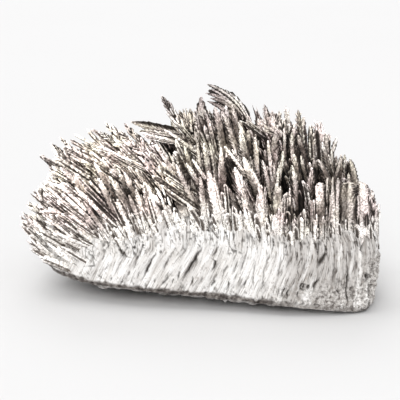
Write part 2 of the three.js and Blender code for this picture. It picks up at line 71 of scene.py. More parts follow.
# crystals: root x, y, z, tip x, y, z, width, kind, 1 if it is one of the leading ones
CRYSTALS = [
    (-34.8, 5.3, 27.6, -55.9, 7.8, 46.2, 2.95, "s", 1),
    (-26.3, 5.0, 30.2, -52.6, 7.9, 49.8, 2.10, "f", 1),
    (-26.6, 2.7, 30.2, -48.8, 3.5, 53.0, 1.66, "f", 1),
    (-13.1, 4.2, 32.8, -45.0, 7.0, 51.8, 3.77, "s", 1),
    (-10.3, 2.1, 33.2, -43.8, 2.7, 53.9, 2.07, "s", 1),
    (-19.8, 4.4, 31.7, -40.2, 6.5, 54.5, 3.76, "s", 1),
    (-10.1, 4.9, 33.1, -37.9, 8.0, 54.5, 2.51, "s", 1),
    (0.6, 1.6, 33.9, -34.9, 1.6, 55.5, 2.07, "f", 1),
    (-12.4, 2.8, 32.9, -32.6, 3.9, 58.3, 2.49, "f", 1),
    (-12.7, 5.2, 32.8, -30.7, 7.7, 56.4, 2.09, "f", 1),
    (-5.0, 1.1, 33.7, -27.8, 0.7, 56.1, 2.47, "f", 1),
    (-9.5, 4.2, 33.2, -26.0, 5.9, 57.5, 2.08, "f", 1),
    (-9.8, -1.3, 33.2, -21.7, -2.9, 55.8, 2.05, "f", 1),
    (-6.0, -5.7, 33.1, -29.0, -8.8, 53.9, 4.45, "s", 1),
    (-2.0, -7.7, 33.3, -34.0, -11.5, 52.4, 2.42, "s", 1),
    (-25.0, -14.7, 26.7, -35.0, -17.2, 48.8, 4.39, "l", 1),
    (-9.2, -15.5, 30.8, -33.6, -18.5, 48.5, 3.18, "s", 1),
    (-23.3, -15.8, 26.9, -40.7, -18.4, 46.4, 3.98, "s", 1),
    (-25.4, -17.9, 25.3, -45.0, -20.6, 43.4, 3.18, "s", 1),
    (-18.9, -20.9, 26.4, -29.6, -23.1, 45.4, 3.55, "l", 1),
    (-19.2, -18.4, 27.2, -27.1, -20.6, 47.6, 3.57, "l", 1),
    (-16.4, -20.1, 27.6, -24.6, -22.2, 46.6, 3.56, "l", 1),
    (-8.9, -16.8, 30.6, -22.4, -19.1, 48.9, 3.97, "s", 1),
    (-30.6, 5.5, 29.0, -56.4, 8.2, 43.5, 3.80, "s", 1),
    (-22.1, -14.0, 27.9, -51.4, -17.3, 42.2, 2.00, "l", 1),
    (-33.9, -14.1, 23.5, -52.2, -16.6, 40.0, 2.01, "s", 1),
    (-47.8, 4.1, 22.2, -58.8, 4.8, 33.3, 1.68, "f", 1),
    (-48.4, 3.5, 21.9, -59.8, 4.1, 32.4, 1.07, "n", 1),
    (-50.6, -4.2, 16.5, -61.8, -4.4, 28.0, 1.24, "f", 2),
    (-50.3, -6.8, 15.5, -62.2, -7.0, 27.2, 1.24, "f", 2),
    (-41.7, -10.5, 21.7, -56.7, -12.4, 33.2, 1.03, "n", 1),
    (-24.4, -13.2, 27.4, -52.9, -16.1, 32.0, 2.42, "s", 1),
    (-37.4, -16.4, 20.7, -50.3, -18.0, 31.2, 2.01, "s", 1),
    (-32.3, -19.2, 21.8, -45.9, -20.9, 32.3, 2.00, "s", 1),
    (-27.1, -20.5, 19.2, -38.5, -20.5, 36.1, 3.59, "l", 2),
    (-21.8, -22.1, 21.1, -37.0, -21.9, 38.9, 2.38, "s", 2),
    (-20.1, -22.4, 21.2, -26.2, -22.5, 38.0, 3.17, "s", 2),
    (-28.7, -12.9, 18.1, -34.2, -16.8, 31.0, 2.31, "k", 2),
    (-25.3, -16.9, 17.7, -30.8, -21.1, 32.1, 2.28, "k", 2),
    (-28.5, -18.5, 15.6, -33.8, -22.2, 27.2, 2.29, "k", 2),
    (-26.0, -19.6, 15.6, -31.0, -23.7, 29.7, 2.73, "k", 2),
    (-19.7, -20.8, 16.6, -27.2, -25.1, 30.1, 3.63, "k", 2),
    (-17.9, -21.2, 18.8, -22.1, -25.4, 33.4, 2.26, "k", 2),
    (-15.6, -21.7, 17.4, -19.4, -26.2, 33.9, 3.16, "k", 2),
    (8.0, 2.3, 34.0, -12.8, 3.2, 68.0, 3.29, "f", 1),
    (6.6, 3.4, 33.9, -6.6, 4.8, 62.4, 2.90, "f", 1),
    (-0.1, 3.4, 33.9, -2.7, 4.6, 63.1, 3.31, "f", 1),
    (-0.6, -1.0, 33.8, -0.6, -2.9, 64.2, 1.63, "f", 1),
    (5.3, 4.8, 51.8, -23.4, 3.4, 58.4, 3.16, "v", 1),
    (-1.2, -0.4, 52.5, -20.4, -1.4, 56.2, 2.09, "v", 1),
    (20.1, -1.4, 33.5, -11.9, -5.2, 57.0, 2.44, "s", 1),
    (13.3, -0.0, 33.9, -8.9, -1.4, 58.6, 1.04, "n", 1),
    (13.8, -0.3, 33.8, -7.5, -1.9, 59.5, 1.04, "n", 1),
    (12.5, -2.0, 33.9, -6.1, -4.8, 59.7, 1.03, "n", 1),
    (11.2, -3.8, 33.9, -0.2, -7.0, 63.6, 4.85, "b", 1),
    (1.5, -10.7, 33.2, -9.0, -13.1, 55.2, 4.81, "s", 1),
    (3.1, -16.5, 32.2, -4.5, -18.9, 54.8, 3.96, "l", 1),
    (0.2, -19.1, 31.4, -11.9, -21.3, 49.8, 4.35, "s", 1),
    (1.2, -21.7, 30.6, -7.2, -23.7, 49.7, 3.14, "l", 1),
    (7.8, -22.4, 30.6, -3.8, -24.7, 50.3, 2.74, "l", 1),
    (-3.7, -12.3, 32.5, -17.1, -14.7, 52.1, 4.00, "s", 1),
    (9.7, -20.3, 31.3, -13.9, -23.2, 47.9, 3.54, "s", 1),
    (-3.6, -14.1, 32.1, -19.8, -16.6, 50.8, 3.99, "s", 1),
    (4.1, -22.8, 30.4, -15.8, -25.4, 45.6, 3.14, "s", 1),
    (-2.2, -22.5, 27.3, -7.9, -22.7, 43.4, 4.74, "l", 2),
    (-13.5, -23.7, 23.7, -18.0, -23.7, 43.5, 1.97, "b", 2),
    (-15.4, -22.8, 23.0, -20.7, -22.9, 41.0, 3.96, "l", 2),
    (4.5, -24.1, 22.4, -3.5, -28.6, 37.3, 2.69, "k", 2),
    (4.1, -24.3, 18.4, 1.5, -28.7, 34.6, 3.14, "k", 2),
    (9.0, -25.0, 19.5, 4.8, -29.1, 34.0, 2.69, "k", 2),
    (12.0, -25.3, 18.4, 8.5, -30.0, 36.4, 3.13, "k", 2),
    (19.8, -26.6, 20.7, 15.5, -31.1, 37.0, 3.57, "k", 2),
    (31.2, -1.9, 32.4, 28.8, -4.3, 61.4, 2.44, "f", 1),
    (35.0, 4.3, 31.5, 31.1, 6.5, 63.5, 2.08, "b", 1),
    (37.4, 4.9, 31.0, 35.4, 7.5, 62.2, 1.67, "b", 1),
    (41.4, -0.6, 30.7, 39.3, -2.0, 58.8, 2.46, "b", 1),
    (29.1, 4.5, 32.9, 19.1, 4.8, 64.5, 1.05, "n", 1),
    (29.4, 4.5, 32.9, 20.5, 4.8, 63.8, 1.05, "n", 1),
    (30.2, 1.9, 32.4, 27.4, 2.1, 62.2, 2.47, "f", 1),
    (37.2, -2.5, 31.6, 22.1, -5.8, 61.0, 3.25, "b", 1),
    (27.4, -21.8, 24.3, 23.3, -25.6, 36.9, 2.71, "k", 2),
    (29.3, -29.2, 20.1, 29.3, -33.0, 33.4, 1.78, "k", 2),
    (33.8, -29.7, 17.2, 31.9, -34.1, 33.7, 3.55, "k", 2),
    (34.0, 3.8, 31.7, 23.3, 5.8, 64.3, 2.90, "b", 1),
    (33.6, 3.7, 31.8, 26.1, 5.3, 62.3, 2.49, "b", 1),
    (33.2, 3.9, 31.9, 20.2, 5.9, 62.2, 2.49, "f", 1),
    (25.7, 1.7, 33.0, 16.9, 1.8, 61.9, 2.88, "b", 1),
    (29.9, -1.7, 32.6, 20.8, -4.0, 61.3, 2.85, "b", 1),
    (-3.6, -10.6, 32.8, -15.2, -12.9, 53.4, 3.21, "s", 1),
    (-13.9, -13.0, 30.4, -31.7, -15.7, 50.6, 3.20, "s", 1),
    (-17.6, -10.8, 30.1, -38.6, -13.7, 49.8, 2.81, "s", 1),
    (-26.8, -12.4, 26.8, -46.8, -15.3, 46.6, 4.01, "l", 1),
    (-25.7, 3.3, 30.4, -52.3, 4.6, 47.7, 3.34, "s", 1),
    (-23.3, -21.9, 24.3, -38.6, -24.1, 40.9, 3.16, "s", 1),
    (-31.5, -18.0, 22.7, -47.2, -20.1, 36.7, 2.79, "s", 1),
    (-36.1, -14.3, 22.4, -52.3, -16.5, 36.8, 2.01, "s", 1),
    (-46.9, -8.8, 16.9, -58.4, -9.1, 25.7, 1.64, "f", 2),
    (-45.0, -11.7, 15.9, -56.0, -12.1, 22.9, 1.64, "f", 2),
    (-51.1, 8.8, 18.1, -61.3, 8.5, 27.4, 1.70, "f", 2),
    (-30.5, -15.9, 16.4, -42.9, -20.5, 28.8, 2.75, "k", 2),
    (-29.9, -16.3, 16.1, -38.1, -20.6, 29.5, 2.75, "k", 2),
    (-34.8, -14.9, 14.6, -47.2, -19.5, 27.1, 2.30, "k", 2),
    (-39.9, -11.9, 13.7, -52.3, -16.5, 26.2, 2.31, "k", 2),
    (-10.5, -23.5, 25.0, -15.3, -23.8, 37.7, 3.56, "l", 2),
    (-6.3, -22.8, 20.7, -11.3, -27.3, 37.0, 3.60, "k", 2),
    (-1.8, -23.3, 19.6, -7.2, -27.6, 34.3, 3.60, "k", 2),
    (-11.4, -22.2, 17.1, -16.0, -26.2, 30.4, 3.17, "k", 2),
    (-19.9, -21.0, 15.9, -24.2, -25.1, 30.1, 3.17, "k", 2),
    (22.7, -27.2, 19.1, 18.8, -31.5, 34.7, 3.12, "k", 2),
    (55.2, -27.5, 17.6, 53.4, -32.1, 34.9, 4.01, "k", 2),
    (58.0, -25.9, 17.1, 56.2, -30.6, 35.1, 3.57, "k", 2),
    (1.6, -23.9, 18.8, -2.5, -28.1, 33.7, 3.15, "k", 2),
    (58.9, -25.2, 21.7, 58.5, -25.4, 39.1, 2.36, "f", 2),
    (59.9, -22.4, 20.9, 59.9, -23.4, 31.9, 1.99, "s", 2),
    (61.4, -16.8, 23.2, 60.8, -17.8, 34.2, 2.01, "f", 2),
    (43.4, -31.6, 23.5, 42.5, -31.9, 37.0, 0.99, "n", 2),
    (42.1, -30.0, 18.6, 41.5, -34.4, 34.8, 2.22, "k", 2),
    (39.8, -30.0, 18.6, 39.2, -34.5, 35.5, 3.10, "k", 2),
    (45.0, 4.5, 29.5, 46.5, 6.0, 53.9, 2.50, "b", 1),
    (-12.8, 0.6, 32.9, -47.1, -0.6, 51.4, 3.71, "s", 1),
    (-20.3, -22.1, 21.2, -28.9, -22.1, 39.7, 3.57, "s", 2),
    (-23.7, -21.2, 24.5, -33.3, -23.4, 44.8, 3.55, "l", 1),
    (-29.5, -17.7, 23.7, -47.1, -20.2, 41.2, 3.18, "s", 1),
    (-11.7, -8.4, 31.9, -36.1, -11.5, 51.7, 2.01, "s", 1),
    (-45.5, -7.6, 10.7, -60.2, -12.8, 29.4, 2.79, "k", 2),
    (-46.9, -5.5, 8.1, -61.7, -10.4, 25.1, 2.81, "k", 2),
    (-43.5, -9.1, 5.8, -58.1, -13.8, 21.0, 2.80, "k", 2),
    (-39.5, -12.4, 11.8, -54.4, -17.4, 24.7, 3.24, "k", 2),
    (-32.4, -16.2, 14.0, -48.5, -21.1, 25.0, 3.21, "k", 2),
    (-36.5, -14.2, 8.6, -51.5, -19.2, 20.9, 2.77, "k", 2),
    (-31.4, -16.7, 8.8, -46.5, -21.6, 20.5, 2.76, "k", 2),
    (-38.2, -13.9, 21.7, -53.2, -15.8, 32.3, 3.23, "s", 1),
    (-42.6, -11.8, 20.6, -55.5, -13.6, 32.4, 2.43, "s", 1),
    (-29.3, -17.4, 15.4, -43.5, -21.9, 24.2, 2.29, "k", 2),
    (18.0, 4.5, 55.5, 3.6, 4.5, 69.5, 5.24, "q", 1),
    (17.3, 1.5, 59.8, 3.2, 1.5, 72.2, 1.56, "p", 1),
    (15.9, 1.8, 59.7, 4.6, 1.8, 70.4, 1.25, "p", 1),
    (15.7, 1.6, 61.5, 2.6, 1.6, 69.0, 1.46, "p", 1),
    (15.3, 1.4, 60.4, 4.3, 1.4, 67.3, 1.81, "p", 1),
    (12.6, 1.1, 58.7, 3.2, 1.1, 66.3, 1.74, "p", 1),
    (9.7, -5.7, 33.8, 2.5, -9.0, 65.4, 2.01, "s", 1),
    (22.6, -6.4, 33.9, 11.8, -7.0, 64.0, 0.89, "n", 1),
    (25.8, -3.8, 52.8, 14.9, -5.1, 61.2, 2.44, "s", 1),
    (19.6, 4.8, 33.4, 17.4, 7.1, 63.0, 2.50, "b", 1),
    (32.0, 2.2, 32.7, 22.5, 2.2, 62.2, 0.77, "n", 1),
    (38.6, 2.6, 31.0, 35.1, 3.4, 63.0, 1.65, "b", 1),
    (31.1, 3.7, 32.2, 28.6, 5.3, 62.3, 1.66, "b", 1),
    (31.1, -0.8, 32.4, 26.4, -2.5, 61.7, 2.86, "s", 1),
    (27.7, -10.3, 57.0, 22.6, -10.9, 59.2, 2.41, "b", 1),
    (3.0, 2.5, 33.9, 1.2, 3.4, 67.6, 4.94, "l", 1),
    (11.1, -5.2, 33.8, 2.2, -8.5, 65.3, 2.01, "l", 1),
    (11.6, -4.4, 33.9, 5.9, -7.7, 66.2, 4.03, "l", 1),
    (20.3, -7.2, 33.5, 8.3, -10.6, 65.1, 3.61, "l", 1),
    (23.2, -6.5, 33.3, 13.8, -9.4, 61.0, 2.82, "l", 1),
    (19.0, -9.0, 33.5, 17.1, -11.5, 58.7, 2.81, "l", 1),
    (20.9, -10.2, 33.3, 14.4, -12.9, 59.0, 4.40, "l", 1),
    (25.4, -20.1, 31.3, 8.8, -23.1, 55.7, 1.96, "l", 1),
    (20.7, -12.6, 32.9, 19.4, -15.0, 57.0, 2.39, "l", 1),
    (8.3, -21.0, 31.1, 7.8, -23.4, 55.4, 3.14, "l", 1),
    (8.5, -19.8, 31.4, 4.2, -22.4, 56.6, 2.36, "l", 1),
    (5.5, -19.4, 31.4, 2.1, -22.0, 56.5, 2.75, "l", 1),
    (2.6, -18.1, 31.8, -0.2, -20.6, 56.2, 1.97, "l", 1),
    (11.9, -21.9, 30.8, -1.8, -24.4, 51.6, 2.35, "l", 1),
    (8.4, -25.6, 25.6, 3.5, -25.5, 47.9, 5.09, "l", 2),
    (19.2, -24.8, 29.9, 12.4, -26.9, 49.5, 5.46, "l", 1),
    (23.8, -20.4, 31.2, 15.2, -22.7, 51.9, 4.72, "l", 1),
    (26.2, -21.3, 30.9, 21.5, -23.4, 51.0, 2.36, "l", 1),
    (26.7, -22.8, 30.5, 24.1, -24.7, 49.6, 1.57, "l", 1),
    (26.5, -22.1, 30.7, 25.4, -24.0, 50.1, 1.96, "l", 1),
    (26.2, -23.5, 30.3, 26.7, -25.3, 48.7, 1.57, "l", 1),
    (26.0, -18.2, 31.7, 28.6, -20.4, 53.4, 2.37, "l", 1),
    (36.2, -19.0, 31.3, 32.2, -21.1, 52.5, 3.16, "l", 1),
    (40.0, -18.6, 31.0, 34.6, -20.8, 52.1, 2.76, "l", 1),
    (37.1, -21.9, 30.6, 38.1, -23.8, 48.7, 3.15, "l", 1),
    (41.9, -10.3, 31.0, 34.1, -13.0, 57.3, 3.20, "l", 1),
    (34.6, -9.9, 32.1, 32.0, -12.6, 58.2, 2.80, "l", 1),
    (29.2, -2.7, 32.7, 33.5, -5.4, 60.2, 3.25, "l", 1),
    (50.8, -18.4, 29.0, 40.3, -20.8, 50.7, 3.56, "l", 1),
    (49.7, -10.3, 29.4, 42.3, -13.0, 54.8, 3.21, "l", 1),
    (47.1, -7.9, 29.9, 46.0, -10.1, 52.4, 2.02, "l", 1),
    (43.5, -11.9, 30.7, 48.5, -13.8, 48.7, 2.41, "l", 1),
    (55.1, -28.2, 23.5, 54.6, -28.1, 44.5, 5.08, "c", 2),
    (59.7, -23.7, 20.0, 58.3, -23.9, 36.7, 3.96, "c", 2),
    (50.4, -6.2, 29.1, 49.4, -8.2, 49.5, 3.25, "l", 1),
    (56.9, -1.9, 27.0, 53.1, -3.2, 46.9, 3.29, "l", 1),
    (43.5, 2.8, 30.1, 49.0, 3.3, 53.0, 2.08, "l", 1),
    (45.2, 5.3, 29.4, 42.6, 7.8, 58.2, 4.60, "b", 1),
    (34.8, 5.2, 31.5, 37.6, 7.5, 59.7, 2.09, "l", 1),
    (40.5, -0.7, 30.9, 39.0, -2.2, 58.8, 2.46, "l", 1),
    (25.1, -9.4, 33.1, 26.6, -12.0, 58.8, 4.01, "l", 1),
    (61.9, -6.4, 24.1, 60.4, -6.8, 36.7, 2.46, "l", 2),
    (46.4, -1.8, 29.8, 44.5, -3.7, 55.9, 2.86, "l", 1),
    (30.6, -8.2, 32.6, 29.4, -10.9, 59.2, 2.01, "l", 1),
    (27.1, -14.0, 32.6, 23.7, -16.4, 56.3, 2.39, "l", 1),
    (2.4, -25.1, 25.7, 0.8, -25.1, 45.7, 4.32, "l", 2),
    (9.7, -26.5, 25.5, 8.5, -26.6, 43.6, 2.74, "s", 2),
    (14.2, -25.8, 19.2, 11.8, -30.5, 37.2, 2.68, "k", 2),
    (11.7, -24.2, 22.9, 10.8, -28.0, 35.8, 2.25, "k", 2),
    (16.0, -26.0, 18.5, 14.2, -30.5, 35.5, 2.68, "k", 2),
    (18.1, -27.8, 25.1, 14.8, -27.9, 43.2, 3.13, "l", 2),
    (21.7, -28.3, 22.1, 20.4, -28.2, 44.1, 4.29, "c", 2),
    (26.7, -26.7, 29.1, 26.3, -28.4, 45.4, 4.29, "l", 1),
    (26.7, -28.6, 17.9, 26.7, -33.6, 37.3, 3.99, "k", 2),
    (28.5, -29.6, 27.9, 28.5, -31.0, 41.6, 2.33, "s", 1),
    (30.5, -28.5, 28.3, 29.8, -30.0, 43.1, 1.95, "s", 1),
    (31.1, -26.2, 22.0, 30.4, -30.6, 38.2, 3.12, "k", 2),
    (33.1, -25.2, 22.4, 32.2, -28.7, 34.3, 2.24, "k", 2),
    (32.3, -29.6, 16.5, 31.6, -34.0, 33.0, 4.00, "k", 2),
    (35.5, -29.9, 16.9, 34.9, -35.1, 37.4, 3.53, "k", 2),
    (36.5, -30.0, 19.7, 36.5, -33.8, 32.6, 1.78, "k", 2),
    (38.7, -31.2, 22.2, 37.9, -31.4, 39.7, 3.11, "c", 2),
    (38.6, -25.9, 29.2, 35.6, -27.6, 45.2, 2.34, "s", 1),
    (41.0, -31.2, 22.2, 40.2, -31.0, 45.1, 3.49, "c", 2),
    (43.0, -30.4, 24.6, 42.5, -30.8, 37.0, 0.99, "n", 2),
    (44.9, -30.4, 22.8, 44.5, -30.1, 47.0, 5.05, "c", 2),
    (50.3, -29.3, 21.8, 49.9, -29.2, 44.8, 5.84, "c", 2),
    (33.5, -22.5, 30.5, 31.4, -24.4, 49.5, 4.71, "l", 1),
    (19.6, 0.8, 33.5, 11.9, 0.1, 65.4, 3.28, "l", 1),
    (13.4, -3.5, 33.9, 9.7, -6.8, 66.4, 2.83, "l", 1),
    (23.2, -27.0, 29.0, 15.0, -28.8, 45.5, 0.86, "n", 1),
    (-42.8, -9.1, 6.5, -59.5, -13.9, 20.3, 2.80, "k", 2),
    (-40.8, -11.1, 5.7, -57.9, -16.4, 18.2, 2.79, "k", 2),
    (-36.6, -13.8, 5.9, -54.5, -19.0, 16.1, 2.78, "k", 2),
    (-6.4, -3.0, 52.2, -19.9, -4.1, 55.7, 2.04, "s", 1),
    (0.7, -6.9, 33.6, -34.0, -10.9, 52.6, 2.42, "s", 1),
    (-16.1, -23.0, 22.9, -23.1, -23.1, 38.9, 3.17, "l", 2),
    (-12.1, -23.5, 24.1, -17.3, -23.6, 42.4, 2.76, "s", 2),
    (-13.3, -21.7, 20.5, -18.7, -26.0, 35.2, 3.16, "k", 2),
    (-25.4, -21.1, 19.7, -34.4, -21.2, 35.2, 3.19, "l", 2),
    (-49.9, -1.0, 10.0, -61.8, -5.3, 25.3, 3.73, "k", 2),
    (-23.0, -20.4, 14.7, -28.4, -24.4, 28.1, 3.84, "k", 2),
    (-4.9, -23.2, 22.0, -7.9, -27.2, 35.7, 2.73, "k", 2),
    (25.2, -27.9, 19.2, 23.0, -31.7, 32.2, 2.75, "k", 2),
    (53.5, -18.3, 28.8, 48.5, -19.2, 42.2, 3.38, "s", 0),
    (-14.0, 15.5, 30.9, -27.1, 22.0, 49.6, 3.81, "f", 0),
    (-53.5, 1.2, 18.8, -60.5, 0.4, 25.2, 2.95, "s", 0),
    (39.7, 10.5, 30.0, 32.4, 15.7, 57.6, 4.00, "l", 0),
    (34.1, 19.1, 28.5, 33.6, 25.0, 48.4, 2.66, "s", 0),
    (7.0, -8.9, 33.6, 1.4, -11.6, 48.1, 4.26, "l", 0),
    (-43.8, 19.4, 21.9, -59.0, 23.5, 29.8, 4.26, "f", 0),
    (54.4, -22.3, 28.3, 51.7, -23.3, 37.9, 3.16, "l", 0),
    (-30.1, -8.3, 27.3, -38.7, -10.4, 34.8, 2.92, "s", 0),
    (3.4, 9.5, 33.3, -3.9, 10.6, 58.2, 2.92, "f", 0),
    (57.5, -21.4, 27.4, 56.8, -21.6, 35.8, 3.11, "k", 0),
    (-21.3, 7.3, 31.6, -42.6, 7.7, 49.6, 3.97, "s", 0),
    (34.4, 15.4, 29.7, 32.2, 20.0, 52.9, 2.90, "b", 0),
    (13.6, -13.5, 32.9, 9.7, -15.7, 51.6, 4.34, "l", 0),
    (39.6, 15.2, 28.8, 37.4, 17.2, 53.9, 3.85, "s", 0),
    (-19.0, 12.6, 31.1, -33.5, 14.9, 49.0, 3.91, "f", 0),
    (59.8, -2.5, 26.4, 58.6, -4.1, 35.1, 2.28, "l", 0),
    (18.4, 3.6, 33.8, 7.7, 2.6, 57.1, 4.18, "l", 0),
    (-4.2, 18.8, 30.2, -13.0, 21.9, 49.1, 3.72, "s", 0),
    (24.1, 10.4, 32.4, 16.7, 13.7, 59.6, 3.28, "l", 0),
    (33.8, -0.0, 32.1, 30.8, -1.8, 56.7, 4.01, "l", 0),
    (-11.9, 26.9, 25.1, -21.9, 32.6, 34.5, 3.65, "l", 0),
    (-14.2, 5.8, 33.0, -27.8, 7.1, 46.5, 4.19, "l", 0),
    (48.2, -14.7, 29.9, 46.3, -16.2, 38.4, 3.03, "l", 0),
    (35.9, -3.7, 32.1, 27.1, -3.8, 53.3, 3.87, "s", 0),
    (41.8, -4.4, 31.0, 38.4, -7.0, 48.8, 3.28, "b", 0),
    (-28.7, -2.3, 29.4, -37.8, -2.1, 38.1, 3.12, "f", 0),
    (-8.0, 20.2, 29.3, -17.9, 25.4, 44.0, 3.98, "l", 0),
    (54.7, 11.4, 25.6, 56.4, 14.0, 38.6, 3.06, "l", 0),
    (-5.5, 10.3, 33.2, -17.9, 11.6, 49.2, 4.33, "f", 0),
    (-27.3, 22.0, 25.9, -41.7, 26.3, 40.4, 4.07, "f", 0),
    (22.1, 7.2, 33.0, 16.9, 9.9, 58.6, 2.81, "l", 0),
    (15.4, 12.4, 32.5, 11.3, 14.5, 61.2, 3.20, "l", 0),
    (26.0, -6.5, 33.2, 23.1, -7.7, 50.9, 2.84, "l", 0),
    (-22.8, -4.4, 30.7, -37.4, -5.5, 44.7, 4.14, "l", 0),
    (41.4, -30.2, 27.5, 40.8, -30.4, 32.6, 2.31, "b", 0),
    (17.7, -3.8, 33.8, 14.1, -5.5, 52.5, 3.93, "l", 0),
    (30.0, 14.8, 30.6, 24.4, 17.6, 57.8, 2.97, "b", 0),
    (-25.9, -3.0, 30.2, -36.7, -2.0, 38.8, 2.74, "f", 0),
    (10.8, 0.1, 34.1, 3.5, 0.4, 52.2, 3.67, "s", 0),
    (4.4, -10.3, 33.5, -3.2, -13.4, 50.1, 3.45, "l", 0),
    (61.1, -14.3, 26.6, 60.2, -14.9, 33.1, 2.32, "b", 0),
    (10.3, 18.8, 30.4, 5.8, 23.7, 52.6, 3.65, "l", 0),
    (-40.5, 8.7, 25.2, -52.6, 10.0, 36.9, 3.33, "f", 0),
    (-14.3, 2.8, 33.0, -27.4, 2.8, 50.0, 4.26, "f", 0),
    (-37.0, -2.6, 26.3, -50.2, -4.1, 37.8, 3.54, "b", 0),
    (33.3, -30.0, 27.6, 32.1, -31.2, 33.8, 2.51, "b", 0),
    (12.7, -17.5, 32.2, 5.0, -17.6, 51.8, 3.33, "b", 0),
    (-10.1, 28.9, 23.5, -15.6, 33.5, 31.2, 2.85, "l", 0),
    (-43.0, 15.7, 23.0, -55.8, 19.0, 34.2, 2.83, "s", 0),
    (-41.6, 23.2, 21.1, -56.1, 29.9, 30.5, 3.08, "l", 0),
    (-4.7, -9.2, 33.0, -16.4, -11.0, 50.5, 3.62, "b", 0),
    (40.0, -21.3, 30.6, 38.9, -21.8, 35.1, 2.57, "k", 0),
    (-47.9, 14.7, 21.0, -58.2, 16.0, 27.8, 3.33, "l", 0),
    (-29.5, -11.9, 26.0, -36.9, -14.3, 35.0, 2.74, "h", 0),
    (-24.9, 7.7, 30.8, -44.6, 8.7, 45.8, 3.68, "b", 0),
    (-18.9, -13.5, 29.1, -27.6, -15.7, 39.1, 2.96, "f", 0),
    (55.6, -5.2, 27.7, 55.1, -6.0, 33.7, 3.16, "s", 0),
    (-45.6, 9.7, 22.8, -54.7, 11.0, 31.2, 3.20, "f", 0),
    (7.6, 8.7, 33.5, -2.9, 9.6, 59.6, 4.07, "b", 0),
    (40.7, 21.3, 26.2, 41.6, 27.6, 46.1, 4.36, "l", 0),
    (-21.8, -0.3, 31.7, -41.4, 3.3, 47.5, 3.50, "s", 0),
    (52.0, -14.6, 29.1, 49.4, -15.3, 42.0, 2.68, "h", 0),
    (2.9, -0.0, 34.1, -2.6, -1.0, 50.5, 2.87, "l", 0),
    (43.4, 9.2, 29.2, 45.0, 9.8, 52.1, 2.63, "b", 0),
    (0.5, -2.9, 33.9, -4.2, -4.7, 48.6, 3.90, "f", 0),
    (-28.4, 8.9, 29.8, -51.4, 12.1, 43.4, 4.20, "s", 0),
    (49.0, 8.7, 27.9, 50.4, 11.3, 43.0, 2.83, "l", 0),
    (-37.4, 5.8, 26.8, -51.6, 7.8, 37.3, 3.12, "f", 0),
    (-3.4, 29.7, 23.1, -5.3, 35.7, 29.2, 2.59, "l", 0),
    (49.2, 12.7, 27.0, 48.2, 16.2, 45.7, 3.14, "s", 0),
    (-1.7, 6.5, 33.9, -14.2, 10.0, 53.7, 3.61, "f", 0),
    (-7.4, 26.9, 25.1, -13.0, 33.1, 33.7, 3.98, "b", 0),
    (29.2, -6.2, 32.9, 27.0, -8.4, 53.8, 3.89, "l", 0),
    (48.9, -2.6, 29.4, 45.8, -4.9, 47.3, 3.85, "l", 0),
    (57.3, -13.6, 27.8, 54.8, -14.5, 36.1, 2.32, "s", 0),
    (20.7, -16.4, 32.3, 19.3, -17.0, 39.6, 2.32, "k", 0),
    (7.4, 18.3, 30.6, 3.9, 22.6, 59.1, 3.43, "s", 0),
    (11.5, 28.7, 24.5, 10.6, 34.6, 33.3, 2.95, "l", 0),
    (-15.7, 23.6, 26.8, -25.5, 29.9, 39.0, 3.12, "f", 0),
    (12.2, 6.7, 33.9, 3.8, 3.5, 51.2, 4.20, "b", 0),
    (-2.2, 23.2, 27.8, -6.8, 29.2, 39.4, 4.09, "f", 0),
    (2.6, 30.7, 22.7, 1.1, 35.3, 28.6, 3.13, "f", 0),
    (28.2, -16.3, 32.2, 26.1, -18.2, 45.7, 2.60, "l", 0),
    (28.4, 26.8, 25.2, 28.9, 33.6, 35.8, 2.85, "l", 0),
    (54.0, -10.9, 28.6, 50.9, -12.2, 42.3, 2.62, "s", 0),
    (-15.0, -0.8, 32.9, -29.9, -2.2, 47.6, 3.13, "s", 0),
    (16.1, 29.8, 23.6, 16.0, 34.9, 31.4, 3.16, "l", 0),
    (2.3, 13.3, 32.3, -2.6, 18.7, 58.1, 3.80, "f", 0),
    (-32.8, 16.6, 26.9, -49.4, 22.7, 38.2, 3.58, "l", 0),
    (-28.2, 14.4, 28.9, -48.3, 21.3, 43.4, 3.85, "l", 0),
    (23.7, -12.2, 33.0, 22.2, -14.3, 48.3, 3.50, "l", 0),
    (21.1, 29.1, 24.1, 20.1, 34.2, 31.0, 3.09, "l", 0),
    (38.1, -28.4, 28.3, 37.8, -28.8, 34.6, 2.95, "k", 0),
    (-24.2, 23.8, 25.7, -41.2, 31.2, 37.0, 3.93, "l", 0),
    (-33.4, -10.3, 25.4, -48.2, -12.9, 38.3, 2.64, "b", 0),
    (-5.5, 22.2, 28.3, -13.5, 27.3, 43.0, 2.94, "l", 0),
    (32.4, -24.5, 29.8, 31.7, -25.0, 36.1, 2.65, "b", 0),
    (-37.7, 23.8, 22.3, -53.1, 33.1, 29.9, 3.14, "b", 0),
    (24.2, 13.2, 31.7, 22.2, 18.0, 53.2, 3.31, "s", 0),
    (47.7, 0.1, 29.4, 46.5, 1.8, 45.7, 2.95, "l", 0),
    (29.2, -27.9, 28.6, 28.8, -28.3, 34.1, 2.46, "b", 0),
    (-3.9, 12.9, 32.3, -12.3, 17.1, 52.8, 3.02, "f", 0),
    (46.0, 14.6, 27.4, 46.4, 19.2, 47.1, 3.36, "s", 0),
    (20.0, 16.5, 31.1, 14.0, 22.8, 51.7, 3.96, "h", 0),
    (55.0, 6.8, 26.5, 56.0, 7.8, 40.4, 3.21, "l", 0),
    (-10.4, 10.0, 33.0, -30.0, 14.9, 52.8, 3.44, "b", 0),
    (-6.1, -18.2, 30.9, -12.9, -20.9, 43.6, 3.18, "f", 0),
    (20.9, 26.1, 26.2, 20.7, 34.2, 34.6, 3.43, "l", 0),
    (-0.6, -13.3, 32.9, -8.8, -13.2, 47.3, 3.29, "l", 0),
    (24.3, -18.1, 32.0, 20.5, -19.2, 41.0, 2.28, "l", 0),
